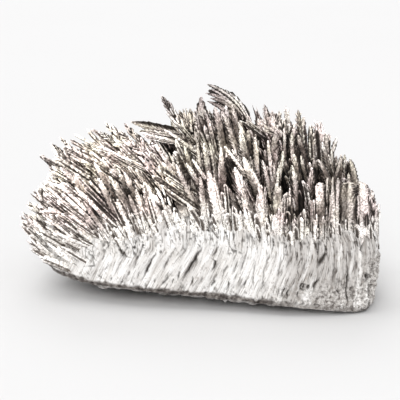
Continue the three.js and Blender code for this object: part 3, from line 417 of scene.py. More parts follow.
    (-20.6, 16.5, 29.6, -36.1, 23.3, 47.6, 3.73, "l", 0),
    (-13.4, 8.6, 32.9, -32.1, 11.6, 49.4, 3.43, "b", 0),
    (33.0, 25.9, 25.2, 33.6, 31.6, 36.6, 3.86, "l", 0),
    (-39.7, 2.6, 25.9, -52.1, 2.8, 37.2, 3.04, "b", 0),
    (-6.4, 1.0, 33.9, -18.6, -0.0, 50.3, 4.01, "l", 0),
    (56.9, -25.1, 27.4, 55.9, -24.5, 33.5, 2.02, "b", 0),
    (-32.4, 0.6, 28.5, -38.0, 1.1, 34.2, 2.22, "f", 0),
    (-36.5, 15.1, 25.9, -53.2, 19.4, 39.3, 4.11, "f", 0),
    (-49.7, 6.0, 21.2, -58.4, 7.3, 27.7, 3.49, "l", 0),
    (-41.1, -15.9, 18.9, -46.1, -17.6, 23.3, 2.41, "k", 0),
    (-21.9, -20.5, 25.4, -27.6, -21.3, 32.4, 3.05, "l", 0),
    (-9.6, 7.0, 33.3, -21.4, 7.9, 50.3, 4.19, "h", 0),
    (44.3, 22.0, 25.1, 46.4, 28.5, 41.1, 3.23, "s", 0),
    (-33.8, -3.7, 27.3, -39.3, -3.8, 32.8, 2.30, "h", 0),
    (43.7, -28.1, 28.2, 43.4, -29.2, 38.4, 3.29, "l", 0),
    (0.2, -17.4, 31.9, -2.2, -17.9, 39.0, 3.15, "k", 0),
    (30.9, 22.8, 27.3, 28.4, 29.3, 46.3, 3.10, "l", 0),
    (-6.0, 16.3, 31.2, -16.8, 20.1, 48.6, 3.13, "s", 0),
    (51.1, 17.2, 25.1, 52.8, 23.7, 40.1, 4.05, "s", 0),
    (-12.8, 18.4, 29.9, -24.4, 25.3, 45.1, 3.57, "f", 0),
    (28.3, 24.3, 26.8, 26.6, 30.8, 41.7, 4.24, "l", 0),
    (-16.3, -7.3, 31.5, -28.2, -8.5, 43.6, 2.80, "b", 0),
    (-25.3, -11.3, 27.9, -37.5, -11.6, 40.2, 3.60, "s", 0),
    (-27.6, 1.0, 30.0, -36.5, 1.1, 39.7, 3.04, "b", 0),
    (14.3, -8.8, 33.6, 10.7, -11.8, 51.5, 3.93, "s", 0),
    (46.0, -18.4, 30.1, 45.1, -18.4, 38.9, 2.85, "s", 0),
    (49.8, -19.7, 29.4, 48.2, -20.5, 37.7, 3.10, "l", 0),
    (54.4, -29.4, 27.0, 53.5, -29.7, 32.8, 2.15, "k", 0),
    (2.0, 21.5, 28.9, -1.1, 25.8, 47.5, 2.92, "f", 0),
    (-23.5, 5.2, 31.2, -38.9, 6.9, 45.4, 4.13, "f", 0),
    (17.6, -13.1, 33.0, 11.6, -13.8, 51.7, 4.03, "f", 0),
    (7.1, 23.6, 27.9, 4.9, 30.4, 44.0, 3.24, "f", 0),
    (-34.9, -7.8, 25.7, -52.3, -10.5, 40.1, 3.61, "f", 0),
    (-20.5, 26.0, 24.6, -28.5, 32.0, 32.1, 2.73, "b", 0),
    (47.4, -23.1, 29.4, 46.2, -22.9, 37.5, 2.38, "k", 0),
    (31.0, 8.0, 31.9, 28.4, 7.0, 53.4, 3.41, "f", 0),
    (-48.0, 11.0, 21.6, -58.6, 14.1, 28.6, 3.54, "l", 0),
    (-17.7, 16.7, 29.9, -31.5, 21.9, 48.7, 4.18, "f", 0),
    (25.8, -29.2, 28.1, 24.4, -30.4, 34.4, 2.07, "b", 0),
    (-28.4, 18.7, 27.4, -45.7, 25.7, 39.8, 4.11, "f", 0),
    (34.5, -27.7, 28.6, 34.3, -28.1, 34.3, 2.63, "k", 0),
    (6.0, 0.3, 34.1, 1.2, -1.8, 52.5, 3.99, "l", 0),
    (-20.2, 20.5, 28.1, -34.6, 24.8, 41.6, 3.13, "s", 0),
    (-39.8, 19.7, 23.4, -56.4, 24.3, 33.1, 4.18, "f", 0),
    (26.5, -1.5, 33.2, 21.1, -4.3, 50.9, 3.06, "s", 0),
    (38.3, -7.8, 31.7, 33.0, -8.3, 53.3, 3.92, "l", 0),
    (10.6, 13.7, 32.3, 4.0, 14.9, 60.5, 3.12, "h", 0),
    (22.1, 18.3, 30.3, 20.4, 21.7, 50.4, 3.99, "b", 0),
    (33.0, -12.6, 32.4, 29.9, -14.9, 48.4, 4.00, "l", 0),
    (46.4, -9.7, 30.2, 45.6, -10.2, 43.4, 3.92, "l", 0),
    (-48.4, 17.5, 20.0, -58.4, 22.3, 27.8, 4.28, "l", 0),
    (54.3, 9.2, 26.2, 56.0, 10.6, 38.4, 2.91, "h", 0),
    (-23.3, 11.3, 30.6, -39.9, 12.8, 47.1, 3.89, "f", 0),
    (26.3, 21.0, 28.8, 23.9, 25.6, 49.8, 4.27, "s", 0),
    (-12.3, -19.1, 29.1, -16.4, -21.6, 35.1, 2.46, "k", 0),
    (-36.8, -11.8, 23.3, -51.7, -11.8, 37.3, 4.28, "h", 0),
    (-11.8, -3.2, 33.2, -28.0, -3.1, 48.8, 3.85, "s", 0),
    (-9.6, -18.9, 29.9, -14.2, -19.3, 37.7, 2.49, "f", 0),
    (-15.1, 27.7, 24.0, -20.9, 33.4, 30.8, 3.08, "f", 0),
    (-39.2, -4.6, 24.9, -52.0, -6.1, 35.1, 3.59, "s", 0),
    (-33.9, 24.7, 22.8, -47.1, 31.9, 31.8, 4.26, "s", 0),
    (40.5, -9.5, 31.4, 37.9, -12.1, 46.7, 2.89, "b", 0),
    (54.5, -2.0, 27.8, 53.2, -2.3, 36.3, 2.71, "l", 0),
    (29.6, -19.6, 31.4, 28.3, -20.3, 37.2, 3.12, "k", 0),
    (-11.5, -16.9, 30.1, -22.1, -19.7, 42.0, 3.71, "f", 0),
    (46.6, 7.8, 28.6, 48.5, 9.3, 44.3, 3.40, "b", 0),
    (57.2, 9.2, 25.3, 58.6, 10.8, 34.7, 2.83, "l", 0),
    (43.8, -22.8, 29.9, 42.2, -23.2, 41.8, 4.18, "s", 0),
    (17.2, -18.7, 31.9, 9.6, -20.0, 50.3, 4.15, "b", 0),
    (-3.3, 4.4, 34.0, -17.0, 6.1, 53.8, 4.15, "b", 0),
    (7.8, 29.6, 23.8, 5.7, 34.9, 31.8, 2.58, "l", 0),
    (17.3, 23.2, 28.1, 15.1, 28.1, 44.5, 4.31, "l", 0),
    (60.8, -8.6, 26.4, 60.7, -8.4, 31.4, 2.61, "k", 0),
    (7.7, -2.3, 34.1, 1.5, -3.7, 52.2, 3.92, "l", 0),
    (-46.4, 6.8, 22.8, -55.7, 8.5, 30.7, 3.08, "f", 0),
    (4.7, 6.0, 33.9, -2.1, 7.2, 54.3, 3.65, "f", 0),
    (29.3, 12.2, 31.4, 25.8, 12.7, 56.6, 3.93, "l", 0),
    (-7.2, 24.8, 26.6, -13.1, 31.2, 38.6, 3.78, "l", 0),
    (51.6, 3.4, 27.9, 54.0, 4.2, 41.1, 3.69, "f", 0),
    (57.0, -10.4, 27.7, 55.5, -10.6, 35.2, 2.62, "l", 0),
    (-35.1, 11.5, 27.0, -51.6, 13.4, 42.8, 4.24, "l", 0),
    (-32.3, 7.9, 28.6, -49.7, 10.4, 40.7, 3.34, "l", 0),
    (21.7, 22.8, 28.2, 18.9, 27.3, 44.0, 3.56, "f", 0),
    (4.0, -4.8, 34.0, -1.4, -6.0, 47.0, 3.72, "l", 0),
    (47.2, -31.2, 26.9, 46.3, -31.4, 31.9, 2.42, "k", 0),
    (-32.3, 27.0, 21.6, -43.8, 33.3, 30.4, 2.69, "f", 0),
    (16.0, -23.5, 30.5, 11.0, -25.5, 39.1, 3.61, "b", 0),
    (-22.6, 27.9, 22.9, -29.8, 34.7, 29.4, 4.06, "f", 0),
    (-15.4, 20.0, 28.8, -26.9, 24.7, 44.9, 3.88, "f", 0),
    (-43.3, -6.8, 22.4, -48.5, -7.2, 26.6, 2.40, "l", 0),
    (52.1, 12.8, 26.1, 53.4, 16.2, 43.8, 3.25, "l", 0),
    (24.8, 18.1, 30.2, 24.5, 18.3, 55.9, 2.96, "l", 0),
    (-38.2, 12.5, 25.7, -54.2, 14.5, 40.2, 2.67, "f", 0),
    (55.1, -7.6, 28.1, 54.0, -9.0, 34.9, 2.27, "l", 0),
    (49.3, -30.1, 27.3, 48.9, -30.1, 33.0, 2.70, "k", 0),
    (37.4, -30.7, 27.2, 36.8, -31.5, 33.3, 2.53, "b", 0),
    (23.9, 3.2, 33.3, 16.3, 2.2, 54.3, 3.67, "s", 0),
    (-32.4, 3.4, 28.8, -38.3, 4.4, 32.9, 3.17, "f", 0),
    (-40.6, -1.1, 25.1, -52.0, -1.4, 34.6, 4.36, "f", 0),
    (-26.6, 28.4, 21.9, -35.8, 33.6, 31.0, 2.70, "f", 0),
    (-50.8, 10.3, 20.3, -60.4, 12.3, 26.7, 4.19, "l", 0),
    (-15.1, 30.6, 21.7, -20.9, 34.7, 28.3, 2.53, "s", 0),
    (-43.8, 12.2, 23.4, -56.1, 15.1, 32.8, 3.33, "f", 0),
    (-0.0, 26.7, 25.6, -2.8, 32.7, 34.4, 3.01, "s", 0),
    (49.8, -26.2, 28.5, 47.6, -28.1, 38.6, 3.36, "b", 0),
    (-44.8, -11.4, 19.7, -50.1, -11.4, 24.1, 2.66, "l", 0),
    (17.3, 25.4, 26.7, 16.7, 32.0, 38.4, 3.37, "l", 0),
    (40.6, 24.4, 24.7, 41.8, 30.7, 36.2, 3.47, "l", 0),
    (6.7, -16.4, 32.4, -0.0, -16.6, 48.5, 3.69, "l", 0),
    (10.0, 10.6, 33.1, 1.7, 14.8, 60.6, 2.97, "f", 0),
    (-16.9, 9.4, 32.1, -33.0, 8.9, 53.3, 3.68, "b", 0),
    (11.1, -24.5, 29.9, 9.4, -25.3, 34.5, 2.85, "k", 0),
    (10.4, -10.8, 33.4, 3.7, -14.0, 52.1, 4.03, "s", 0),
    (19.5, 12.8, 32.2, 14.8, 14.4, 60.4, 3.07, "f", 0),
    (-0.2, 14.7, 31.8, -6.8, 18.7, 53.6, 3.98, "f", 0),
    (27.3, -11.2, 33.0, 24.9, -11.8, 44.6, 3.28, "l", 0),
    (43.5, -16.4, 30.6, 42.1, -18.2, 47.8, 2.83, "l", 0),
    (33.2, -18.6, 31.6, 31.1, -20.5, 45.1, 3.83, "l", 0),
    (-12.8, -8.1, 32.0, -25.8, -8.2, 47.2, 3.48, "f", 0),
    (-20.2, -6.2, 31.0, -35.2, -9.9, 42.1, 3.44, "s", 0),
    (58.5, -18.4, 27.3, 57.6, -19.5, 34.6, 2.28, "k", 0),
    (-23.0, 19.9, 27.8, -37.1, 24.6, 42.0, 3.43, "h", 0),
    (16.9, 9.3, 33.2, 7.1, 7.2, 60.5, 3.81, "s", 0),
    (-12.7, 11.9, 32.2, -31.4, 13.5, 54.4, 3.96, "l", 0),
    (37.2, -15.8, 31.6, 35.6, -17.4, 47.6, 3.64, "l", 0),
    (-17.6, 1.6, 32.4, -30.1, 1.8, 47.0, 3.42, "f", 0),
    (-18.0, -16.9, 28.1, -27.2, -19.3, 41.8, 2.80, "f", 0),
    (-15.7, -13.4, 29.9, -23.5, -14.8, 40.7, 3.46, "f", 0),
    (0.9, 7.5, 33.7, -6.5, 9.0, 50.6, 3.03, "l", 0),
    (42.0, -12.3, 31.0, 39.7, -13.0, 48.9, 3.05, "b", 0),
    (47.8, 3.6, 29.0, 49.5, 3.1, 43.4, 3.47, "l", 0),
    (-6.9, 12.8, 32.5, -23.4, 15.7, 52.0, 3.22, "s", 0),
    (22.6, 15.6, 31.2, 18.5, 19.7, 52.7, 3.26, "l", 0),
    (-36.3, 3.0, 27.3, -40.8, 3.0, 31.1, 3.05, "l", 0),
    (12.0, 23.0, 28.3, 7.3, 29.1, 46.1, 4.38, "l", 0),
    (-43.9, 4.2, 24.2, -53.2, 4.8, 30.0, 3.60, "f", 0),
    (51.5, -0.1, 28.5, 50.3, -2.8, 46.0, 4.30, "f", 0),
    (33.1, 10.7, 31.1, 26.5, 13.7, 59.2, 4.06, "f", 0),
    (-41.3, 4.9, 25.1, -51.0, 5.4, 34.5, 3.26, "f", 0),
    (15.0, 18.8, 30.3, 14.9, 23.5, 51.6, 2.96, "l", 0),
    (-43.6, -2.8, 23.4, -48.3, -2.7, 27.4, 2.75, "l", 0),
    (-31.6, -16.0, 23.5, -46.2, -18.7, 37.8, 2.69, "b", 0),
    (26.9, 29.2, 23.7, 26.8, 35.0, 29.4, 2.35, "f", 0),
    (-0.7, -10.3, 33.3, -3.6, -11.1, 38.4, 2.25, "l", 0),
    (-12.5, -10.9, 31.3, -20.4, -12.5, 43.5, 2.74, "f", 0),
    (-1.5, -5.2, 33.8, -11.2, -6.8, 48.8, 3.11, "f", 0),
    (45.3, -1.2, 30.1, 41.4, -1.9, 47.1, 3.56, "l", 0),
    (-46.1, -8.8, 20.1, -50.1, -8.9, 24.3, 3.01, "f", 0),
    (-18.7, -1.7, 32.1, -28.7, -0.7, 41.7, 2.84, "s", 0),
    (-25.7, -7.4, 29.1, -40.5, -12.2, 41.7, 2.76, "l", 0),
    (-6.8, 5.5, 33.7, -17.8, 5.7, 48.6, 2.72, "b", 0),
    (-7.0, -11.5, 32.3, -13.9, -13.1, 41.5, 3.76, "s", 0),
    (-46.3, 21.1, 20.1, -59.6, 26.3, 28.0, 4.35, "f", 0),
    (-4.2, 25.6, 26.2, -8.5, 31.2, 35.2, 4.12, "h", 0),
    (17.5, -6.4, 33.8, 12.7, -10.5, 50.6, 2.86, "l", 0),
    (55.7, -19.2, 28.1, 53.5, -19.7, 37.4, 2.28, "h", 0),
    (-21.5, 14.3, 30.4, -41.2, 17.4, 48.1, 3.34, "b", 0),
    (5.2, 13.9, 32.2, 2.6, 15.8, 61.0, 3.48, "s", 0),
    (36.7, 26.4, 24.4, 37.4, 32.8, 34.7, 4.17, "l", 0),
    (27.8, 18.4, 29.7, 24.7, 22.1, 54.9, 2.65, "l", 0),
    (-31.4, 20.8, 25.6, -50.0, 24.0, 42.7, 4.01, "s", 0),
    (36.5, 23.1, 26.3, 35.0, 28.2, 45.5, 3.10, "f", 0),
    (-27.7, -5.4, 29.2, -37.1, -6.4, 35.9, 4.06, "f", 0),
    (-10.4, -14.2, 31.0, -20.4, -15.4, 43.5, 3.18, "h", 0),
    (10.0, -15.1, 32.7, 2.6, -15.8, 50.6, 3.90, "l", 0),
    (46.9, 17.7, 26.1, 49.4, 22.3, 42.5, 4.29, "l", 0),
    (-7.6, 30.9, 22.1, -12.5, 35.3, 27.5, 3.17, "f", 0),
    (44.3, -6.6, 30.6, 40.1, -8.6, 48.4, 3.09, "s", 0),
    (56.1, -16.2, 28.1, 54.1, -16.7, 36.5, 2.35, "s", 0),
    (36.8, 3.1, 31.5, 32.4, 1.6, 55.8, 3.63, "l", 0),
    (18.9, 20.3, 29.5, 18.4, 25.2, 48.1, 2.95, "l", 0),
    (28.0, 9.1, 32.1, 24.5, 8.8, 51.4, 2.66, "b", 0),
    (-18.5, 28.8, 22.8, -25.0, 34.0, 29.0, 3.51, "h", 0),
    (60.3, -21.2, 26.7, 59.5, -21.0, 32.6, 2.66, "b", 0),
    (-12.3, 21.7, 28.3, -24.4, 27.2, 44.1, 3.13, "h", 0),
    (42.3, -25.7, 29.2, 41.8, -26.6, 41.5, 3.24, "f", 0),
    (49.6, -7.3, 29.4, 48.5, -8.6, 40.9, 3.20, "l", 0),
    (31.8, 17.7, 29.5, 26.5, 23.7, 50.4, 3.66, "s", 0),
    (-24.8, 14.1, 29.7, -43.1, 17.2, 46.6, 4.03, "l", 0),
    (51.4, 8.8, 27.2, 52.9, 10.0, 39.9, 3.00, "b", 0),
    (4.7, 29.6, 23.7, 3.4, 34.0, 32.6, 4.36, "h", 0),
    (-36.1, 18.2, 25.2, -49.9, 25.7, 35.5, 3.17, "f", 0),
    (18.2, 0.8, 33.7, 14.5, -0.1, 50.9, 3.51, "s", 0),
    (4.2, 24.7, 27.1, 2.3, 30.8, 41.4, 3.26, "h", 0),
    (4.5, 17.5, 30.9, -1.4, 21.4, 52.3, 3.64, "l", 0),
    (-31.6, -13.3, 24.7, -45.7, -15.7, 38.1, 3.34, "f", 0),
    (35.2, 12.6, 30.3, 31.1, 16.4, 57.0, 2.87, "l", 0),
    (8.9, -18.1, 32.0, 2.9, -19.2, 45.6, 3.62, "s", 0),
    (-1.5, 20.7, 29.2, -5.9, 25.8, 49.5, 4.16, "b", 0),
    (31.0, -14.8, 32.4, 27.5, -15.2, 45.3, 2.85, "s", 0),
    (12.5, 2.4, 34.1, 3.4, 2.7, 52.0, 3.03, "b", 0),
    (-7.4, -7.2, 33.0, -13.6, -7.5, 40.9, 2.80, "b", 0),
    (13.2, 9.6, 33.3, 2.9, 11.6, 57.9, 2.67, "l", 0),
    (-29.2, 25.3, 23.7, -44.3, 31.8, 33.6, 3.62, "l", 0),
    (60.6, 0.4, 25.8, 59.0, 0.6, 33.8, 2.74, "f", 0),
    (57.5, 2.9, 26.2, 58.8, 3.2, 33.1, 2.99, "b", 0),
    (-52.8, 10.6, 19.4, -61.8, 9.9, 23.1, 2.32, "l", 0),
    (9.0, 16.3, 31.4, 8.5, 20.3, 60.1, 2.62, "l", 0),
    (23.3, -9.0, 33.5, 18.4, -10.4, 46.6, 2.72, "l", 0),
    (36.1, 7.2, 31.2, 29.2, 8.2, 52.2, 3.25, "l", 0),
    (58.1, -6.2, 27.1, 57.5, -6.1, 36.5, 2.45, "l", 0),
    (-0.9, 1.6, 34.0, -8.3, 1.5, 52.3, 3.63, "b", 0),
    (33.5, -16.1, 32.1, 28.6, -16.3, 48.9, 3.96, "s", 0),
    (35.9, -11.7, 32.0, 33.6, -11.6, 48.8, 3.99, "l", 0),
    (-51.4, 13.1, 19.6, -62.2, 14.9, 25.7, 2.78, "f", 0),
    (39.6, -32.5, 26.2, 39.6, -34.0, 32.4, 2.54, "b", 0),
    (16.2, 6.4, 33.6, 6.1, 6.3, 60.8, 2.93, "b", 0),
    (46.2, 11.7, 28.0, 46.9, 16.0, 48.8, 2.90, "l", 0),
    (25.4, 6.9, 32.8, 17.3, 10.9, 58.8, 3.98, "l", 0),
    (-7.0, -22.2, 29.5, -12.9, -23.5, 42.0, 4.31, "f", 0),
    (40.1, 4.5, 30.7, 36.5, 5.9, 50.4, 3.61, "l", 0),
    (39.2, -13.5, 31.4, 37.4, -14.4, 47.1, 3.43, "b", 0),
    (18.6, -22.0, 30.8, 15.8, -24.1, 43.6, 4.24, "l", 0),
    (-5.2, -2.3, 33.9, -19.4, -6.0, 51.3, 3.08, "f", 0),
    (6.6, 26.2, 26.3, 3.6, 32.4, 41.6, 4.26, "l", 0),
    (-27.8, 3.9, 30.2, -36.9, 4.3, 37.4, 3.81, "l", 0),
    (31.8, -9.8, 32.5, 30.1, -12.5, 49.1, 3.83, "s", 0),
    (-6.1, -15.2, 31.7, -12.8, -16.3, 42.8, 4.23, "h", 0),
    (13.6, 25.0, 27.1, 12.0, 32.0, 38.0, 3.39, "s", 0),
    (54.4, 3.2, 27.2, 55.1, 3.7, 39.0, 3.66, "b", 0),
    (37.4, 16.8, 28.8, 31.6, 22.8, 52.9, 2.87, "l", 0),
    (8.2, -6.5, 33.8, 2.7, -7.9, 50.8, 3.50, "l", 0),
    (-2.8, 10.4, 33.3, -16.7, 10.0, 52.4, 2.95, "f", 0),
    (42.3, 18.9, 26.9, 43.9, 25.4, 49.0, 3.30, "l", 0),
    (35.4, -6.5, 32.1, 32.5, -5.8, 52.1, 2.62, "s", 0),
    (-41.1, 13.5, 24.4, -54.1, 15.5, 33.5, 3.39, "b", 0),
    (-21.0, -10.4, 29.5, -34.5, -13.2, 42.6, 3.00, "f", 0),
    (-33.6, 13.9, 27.2, -51.9, 21.0, 43.4, 3.53, "f", 0),
    (8.8, 21.4, 29.2, 6.5, 26.1, 49.3, 3.83, "f", 0),
    (56.5, -27.2, 27.1, 55.9, -27.8, 33.1, 2.43, "k", 0),
    (40.8, 1.7, 30.7, 41.6, 3.6, 47.8, 4.27, "s", 0),
    (2.8, -14.1, 32.8, 0.1, -15.1, 39.2, 2.36, "l", 0),
    (10.1, 31.0, 22.7, 9.1, 35.9, 28.9, 2.78, "l", 0),
    (16.0, -15.2, 32.6, 11.6, -19.7, 53.8, 3.15, "l", 0),
    (48.7, 20.0, 24.8, 51.4, 25.9, 41.1, 3.85, "l", 0),
    (35.6, -32.3, 26.4, 35.0, -33.3, 31.4, 2.96, "k", 0),
    (53.0, -5.5, 28.4, 51.6, -5.9, 42.3, 3.27, "s", 0),
    (15.2, 2.0, 33.9, 5.4, 1.5, 60.4, 3.54, "f", 0),
    (-14.5, -4.3, 32.6, -30.6, -3.7, 46.5, 3.79, "f", 0),
    (-26.6, 11.3, 29.9, -48.5, 15.0, 46.9, 4.36, "b", 0),
    (-20.6, -18.1, 26.9, -28.1, -18.6, 35.5, 3.54, "f", 0),
    (-27.1, -16.5, 25.1, -31.2, -17.6, 29.6, 3.09, "k", 0),
    (-46.2, -3.0, 22.0, -50.2, -3.3, 25.5, 2.24, "b", 0),
    (45.9, -25.3, 29.1, 43.6, -26.4, 39.7, 3.29, "l", 0),
    (37.8, -0.3, 31.5, 35.9, 0.9, 50.2, 4.24, "f", 0),
    (32.5, -4.5, 32.4, 32.4, -3.1, 58.4, 3.10, "s", 0),
    (13.1, 15.8, 31.7, 2.6, 19.5, 57.6, 3.84, "l", 0),
    (59.4, -24.2, 26.8, 58.6, -24.4, 32.8, 2.16, "k", 0),
    (25.4, 26.9, 25.4, 26.0, 34.0, 36.0, 2.83, "s", 0),
    (-0.2, 30.7, 22.6, -1.8, 35.6, 27.5, 2.28, "b", 0),
    (23.0, -28.9, 28.2, 21.9, -29.6, 33.6, 2.38, "k", 0),
    (-43.5, -0.1, 23.8, -51.6, 1.0, 34.8, 4.24, "l", 0),
    (-35.2, 21.8, 24.1, -50.3, 27.0, 34.4, 3.28, "f", 0),
    (29.5, -23.6, 30.2, 28.1, -24.2, 37.1, 3.16, "k", 0),
    (-48.3, 8.6, 21.7, -56.6, 8.8, 27.9, 3.74, "s", 0),
    (-18.5, 24.5, 25.9, -29.2, 31.3, 37.9, 4.25, "f", 0),
    (52.6, -25.8, 28.2, 49.5, -27.0, 40.1, 3.21, "l", 0),
    (0.8, 18.0, 30.6, -4.2, 24.8, 51.1, 2.89, "b", 0),
    (-9.2, 22.2, 28.0, -14.7, 29.0, 38.3, 3.52, "s", 0),
    (46.9, -27.7, 28.3, 44.6, -28.7, 39.2, 3.89, "h", 0),
    (40.4, 7.2, 30.2, 40.0, 8.5, 49.3, 4.39, "b", 0),
    (33.8, 22.3, 27.1, 31.7, 28.9, 40.7, 3.72, "f", 0),
    (-40.0, -7.8, 23.6, -47.4, -9.5, 29.1, 3.02, "f", 0),
    (-43.5, -9.4, 21.2, -51.6, -10.4, 27.7, 4.18, "f", 0),
    (-32.2, 22.9, 24.2, -49.0, 29.1, 38.5, 3.01, "l", 0),
    (28.9, 21.3, 28.3, 27.6, 25.9, 51.0, 3.32, "l", 0),
    (0.2, 24.5, 27.1, -2.9, 30.6, 40.0, 3.16, "l", 0),
    (14.3, -26.0, 29.5, 10.4, -25.6, 42.0, 3.53, "l", 0),
    (-25.4, 17.8, 28.3, -42.7, 20.0, 47.0, 2.70, "s", 0),
    (3.8, -21.7, 30.9, -0.3, -22.5, 40.0, 2.76, "l", 0),
    (-36.8, 26.4, 20.6, -47.9, 34.0, 30.5, 4.25, "h", 0),
    (19.5, -11.3, 33.2, 18.7, -11.7, 38.2, 2.45, "s", 0),
    (-35.4, 7.4, 27.5, -47.7, 10.7, 37.2, 3.09, "l", 0),
    (32.6, 5.5, 31.8, 31.4, 8.1, 55.9, 3.48, "f", 0),
    (7.9, 5.6, 33.9, 2.3, 4.0, 54.5, 2.74, "s", 0),
    (24.5, 0.4, 33.4, 17.0, 1.2, 53.0, 4.07, "l", 0),
    (52.2, -30.5, 26.9, 51.4, -30.6, 32.9, 2.69, "b", 0),
    (9.2, 25.8, 26.5, 8.3, 32.8, 40.7, 3.13, "l", 0),
    (2.5, -8.5, 33.7, -5.8, -10.6, 50.0, 4.23, "h", 0),
    (-8.5, -3.4, 33.3, -17.5, -4.9, 47.9, 2.75, "f", 0),
    (-4.5, 7.5, 33.5, -15.2, 10.9, 54.4, 3.21, "b", 0),
    (21.1, -3.0, 33.7, 15.2, -5.3, 52.3, 3.63, "h", 0),
    (23.6, -23.7, 30.2, 22.5, -24.1, 35.9, 2.61, "k", 0),
    (42.5, 13.5, 28.5, 44.5, 15.4, 50.9, 2.62, "l", 0),
    (-53.5, 4.6, 19.2, -60.1, 5.1, 23.5, 2.71, "l", 0),
    (5.5, 21.2, 29.2, 2.9, 28.5, 48.0, 4.10, "l", 0),
    (54.9, 0.9, 27.5, 52.3, 0.3, 45.2, 3.97, "b", 0),
    (-10.7, 14.7, 31.6, -27.0, 17.9, 50.2, 2.61, "f", 0),
    (-31.6, -5.8, 27.5, -38.2, -7.5, 34.0, 2.79, "f", 0),
    (-22.6, -8.3, 29.7, -35.9, -9.3, 43.1, 2.79, "h", 0),
    (-31.8, 10.7, 28.3, -49.7, 12.4, 43.1, 3.58, "b", 0),
    (46.9, -5.2, 29.9, 46.0, -7.2, 48.0, 3.95, "h", 0),
    (58.0, 6.4, 25.6, 59.3, 7.3, 33.0, 3.02, "l", 0),
    (44.4, -32.0, 26.6, 43.8, -32.2, 32.5, 2.47, "b", 0),
    (24.2, -14.8, 32.5, 23.4, -18.1, 47.7, 4.29, "b", 0),
    (58.8, -11.7, 27.1, 58.7, -12.1, 33.2, 2.61, "k", 0),
    (-12.2, -22.0, 28.2, -14.7, -22.8, 32.3, 2.35, "k", 0),
    (-2.5, -1.4, 34.1, -15.9, -4.4, 52.7, 3.77, "f", 0),
    (28.0, 2.5, 32.8, 24.2, 1.9, 55.5, 2.64, "l", 0),
    (-8.6, 17.2, 30.7, -19.9, 23.7, 45.6, 4.18, "l", 0),
    (0.3, 11.6, 32.9, -9.6, 12.5, 57.4, 3.94, "l", 0),
    (14.8, 21.3, 29.2, 13.3, 27.6, 48.0, 2.71, "l", 0),
    (24.2, 23.9, 27.3, 23.2, 30.2, 40.5, 2.91, "l", 0),
    (36.8, -25.4, 29.4, 36.2, -26.1, 34.3, 3.07, "k", 0),
    (-4.9, 28.3, 24.3, -10.0, 34.2, 33.2, 3.82, "b", 0),
    (-25.4, 26.1, 23.8, -36.1, 32.4, 33.1, 4.24, "f", 0),
    (-22.7, 2.8, 31.6, -45.8, 2.3, 49.1, 3.27, "f", 0),
    (24.1, -3.1, 33.4, 20.8, -6.9, 51.8, 4.10, "b", 0),
    (54.4, -14.4, 28.5, 52.9, -14.8, 36.6, 2.91, "s", 0),
    (42.5, -18.9, 30.7, 41.0, -21.9, 43.0, 4.13, "l", 0),
    (2.4, 4.1, 34.0, -3.9, 5.4, 51.7, 4.18, "f", 0),
    (-31.2, -2.1, 28.7, -37.7, -1.4, 33.7, 2.45, "f", 0),
    (32.8, 28.3, 23.7, 33.6, 34.6, 30.7, 2.75, "l", 0),
    (6.8, -11.9, 33.2, 1.8, -13.1, 49.1, 3.64, "s", 0),
    (-9.6, -22.1, 28.9, -13.6, -23.4, 39.6, 3.49, "f", 0),
    (-17.2, 5.8, 32.6, -31.7, 7.0, 44.7, 2.78, "f", 0),
    (29.5, -31.7, 26.9, 29.0, -32.7, 32.8, 2.70, "b", 0),
    (16.1, 27.5, 25.4, 15.3, 33.4, 34.9, 4.08, "l", 0),
    (-36.6, -5.2, 25.9, -48.3, -8.1, 36.5, 3.56, "f", 0),
    (61.2, -11.3, 26.4, 60.8, -11.2, 32.9, 2.59, "b", 0),
    (49.2, 6.3, 28.2, 50.8, 5.7, 42.7, 3.21, "f", 0),
    (38.9, -5.1, 31.5, 35.0, -6.9, 53.0, 4.04, "b", 0),
    (40.6, -16.6, 31.1, 37.8, -18.5, 49.1, 3.82, "l", 0),
    (19.0, 7.2, 33.4, 11.2, 9.0, 55.5, 3.46, "l", 0),
    (61.0, -17.8, 26.7, 60.1, -18.3, 31.8, 2.44, "b", 0),
    (16.7, 15.9, 31.5, 11.5, 18.2, 59.9, 2.92, "b", 0),
    (58.3, 0.0, 26.5, 56.1, 0.3, 39.2, 2.93, "s", 0),
    (19.6, -19.6, 31.5, 17.6, -20.7, 41.0, 3.02, "l", 0),
    (-15.1, 13.1, 31.8, -36.5, 20.5, 49.9, 2.80, "f", 0),
    (-54.3, 7.3, 18.6, -61.5, 6.9, 23.5, 2.54, "l", 0),
    (-45.7, 17.1, 21.6, -59.0, 19.6, 29.5, 3.62, "s", 0),
    (15.1, -5.0, 33.9, 10.7, -7.3, 49.9, 3.22, "b", 0),
    (40.0, 18.2, 27.7, 37.4, 24.8, 47.0, 3.65, "f", 0),
    (-25.0, -0.6, 30.7, -38.3, 1.1, 44.9, 3.49, "s", 0),
    (-9.0, -10.2, 32.4, -16.2, -9.9, 39.8, 3.82, "l", 0),
    (12.5, -7.2, 33.8, 7.3, -7.7, 50.0, 3.08, "f", 0),
    (45.6, -13.9, 30.4, 42.5, -14.1, 47.2, 4.05, "s", 0),
    (-9.8, -5.8, 33.0, -15.7, -6.8, 38.9, 2.71, "s", 0),
    (-36.4, -0.2, 27.0, -46.0, 1.0, 36.5, 3.87, "h", 0),
    (-14.9, -16.1, 29.3, -25.2, -18.6, 41.7, 2.96, "f", 0),
    (50.9, -22.2, 28.9, 49.4, -23.8, 42.1, 3.97, "b", 0),
    (61.4, -5.0, 26.2, 59.1, -5.8, 33.9, 2.28, "b", 0),
    (-43.4, 8.3, 24.1, -53.3, 9.6, 32.0, 3.84, "l", 0),
    (37.1, 19.8, 27.7, 33.8, 26.6, 47.2, 2.96, "s", 0),
    (-52.2, -1.3, 19.1, -58.7, -1.8, 26.0, 3.14, "f", 0),
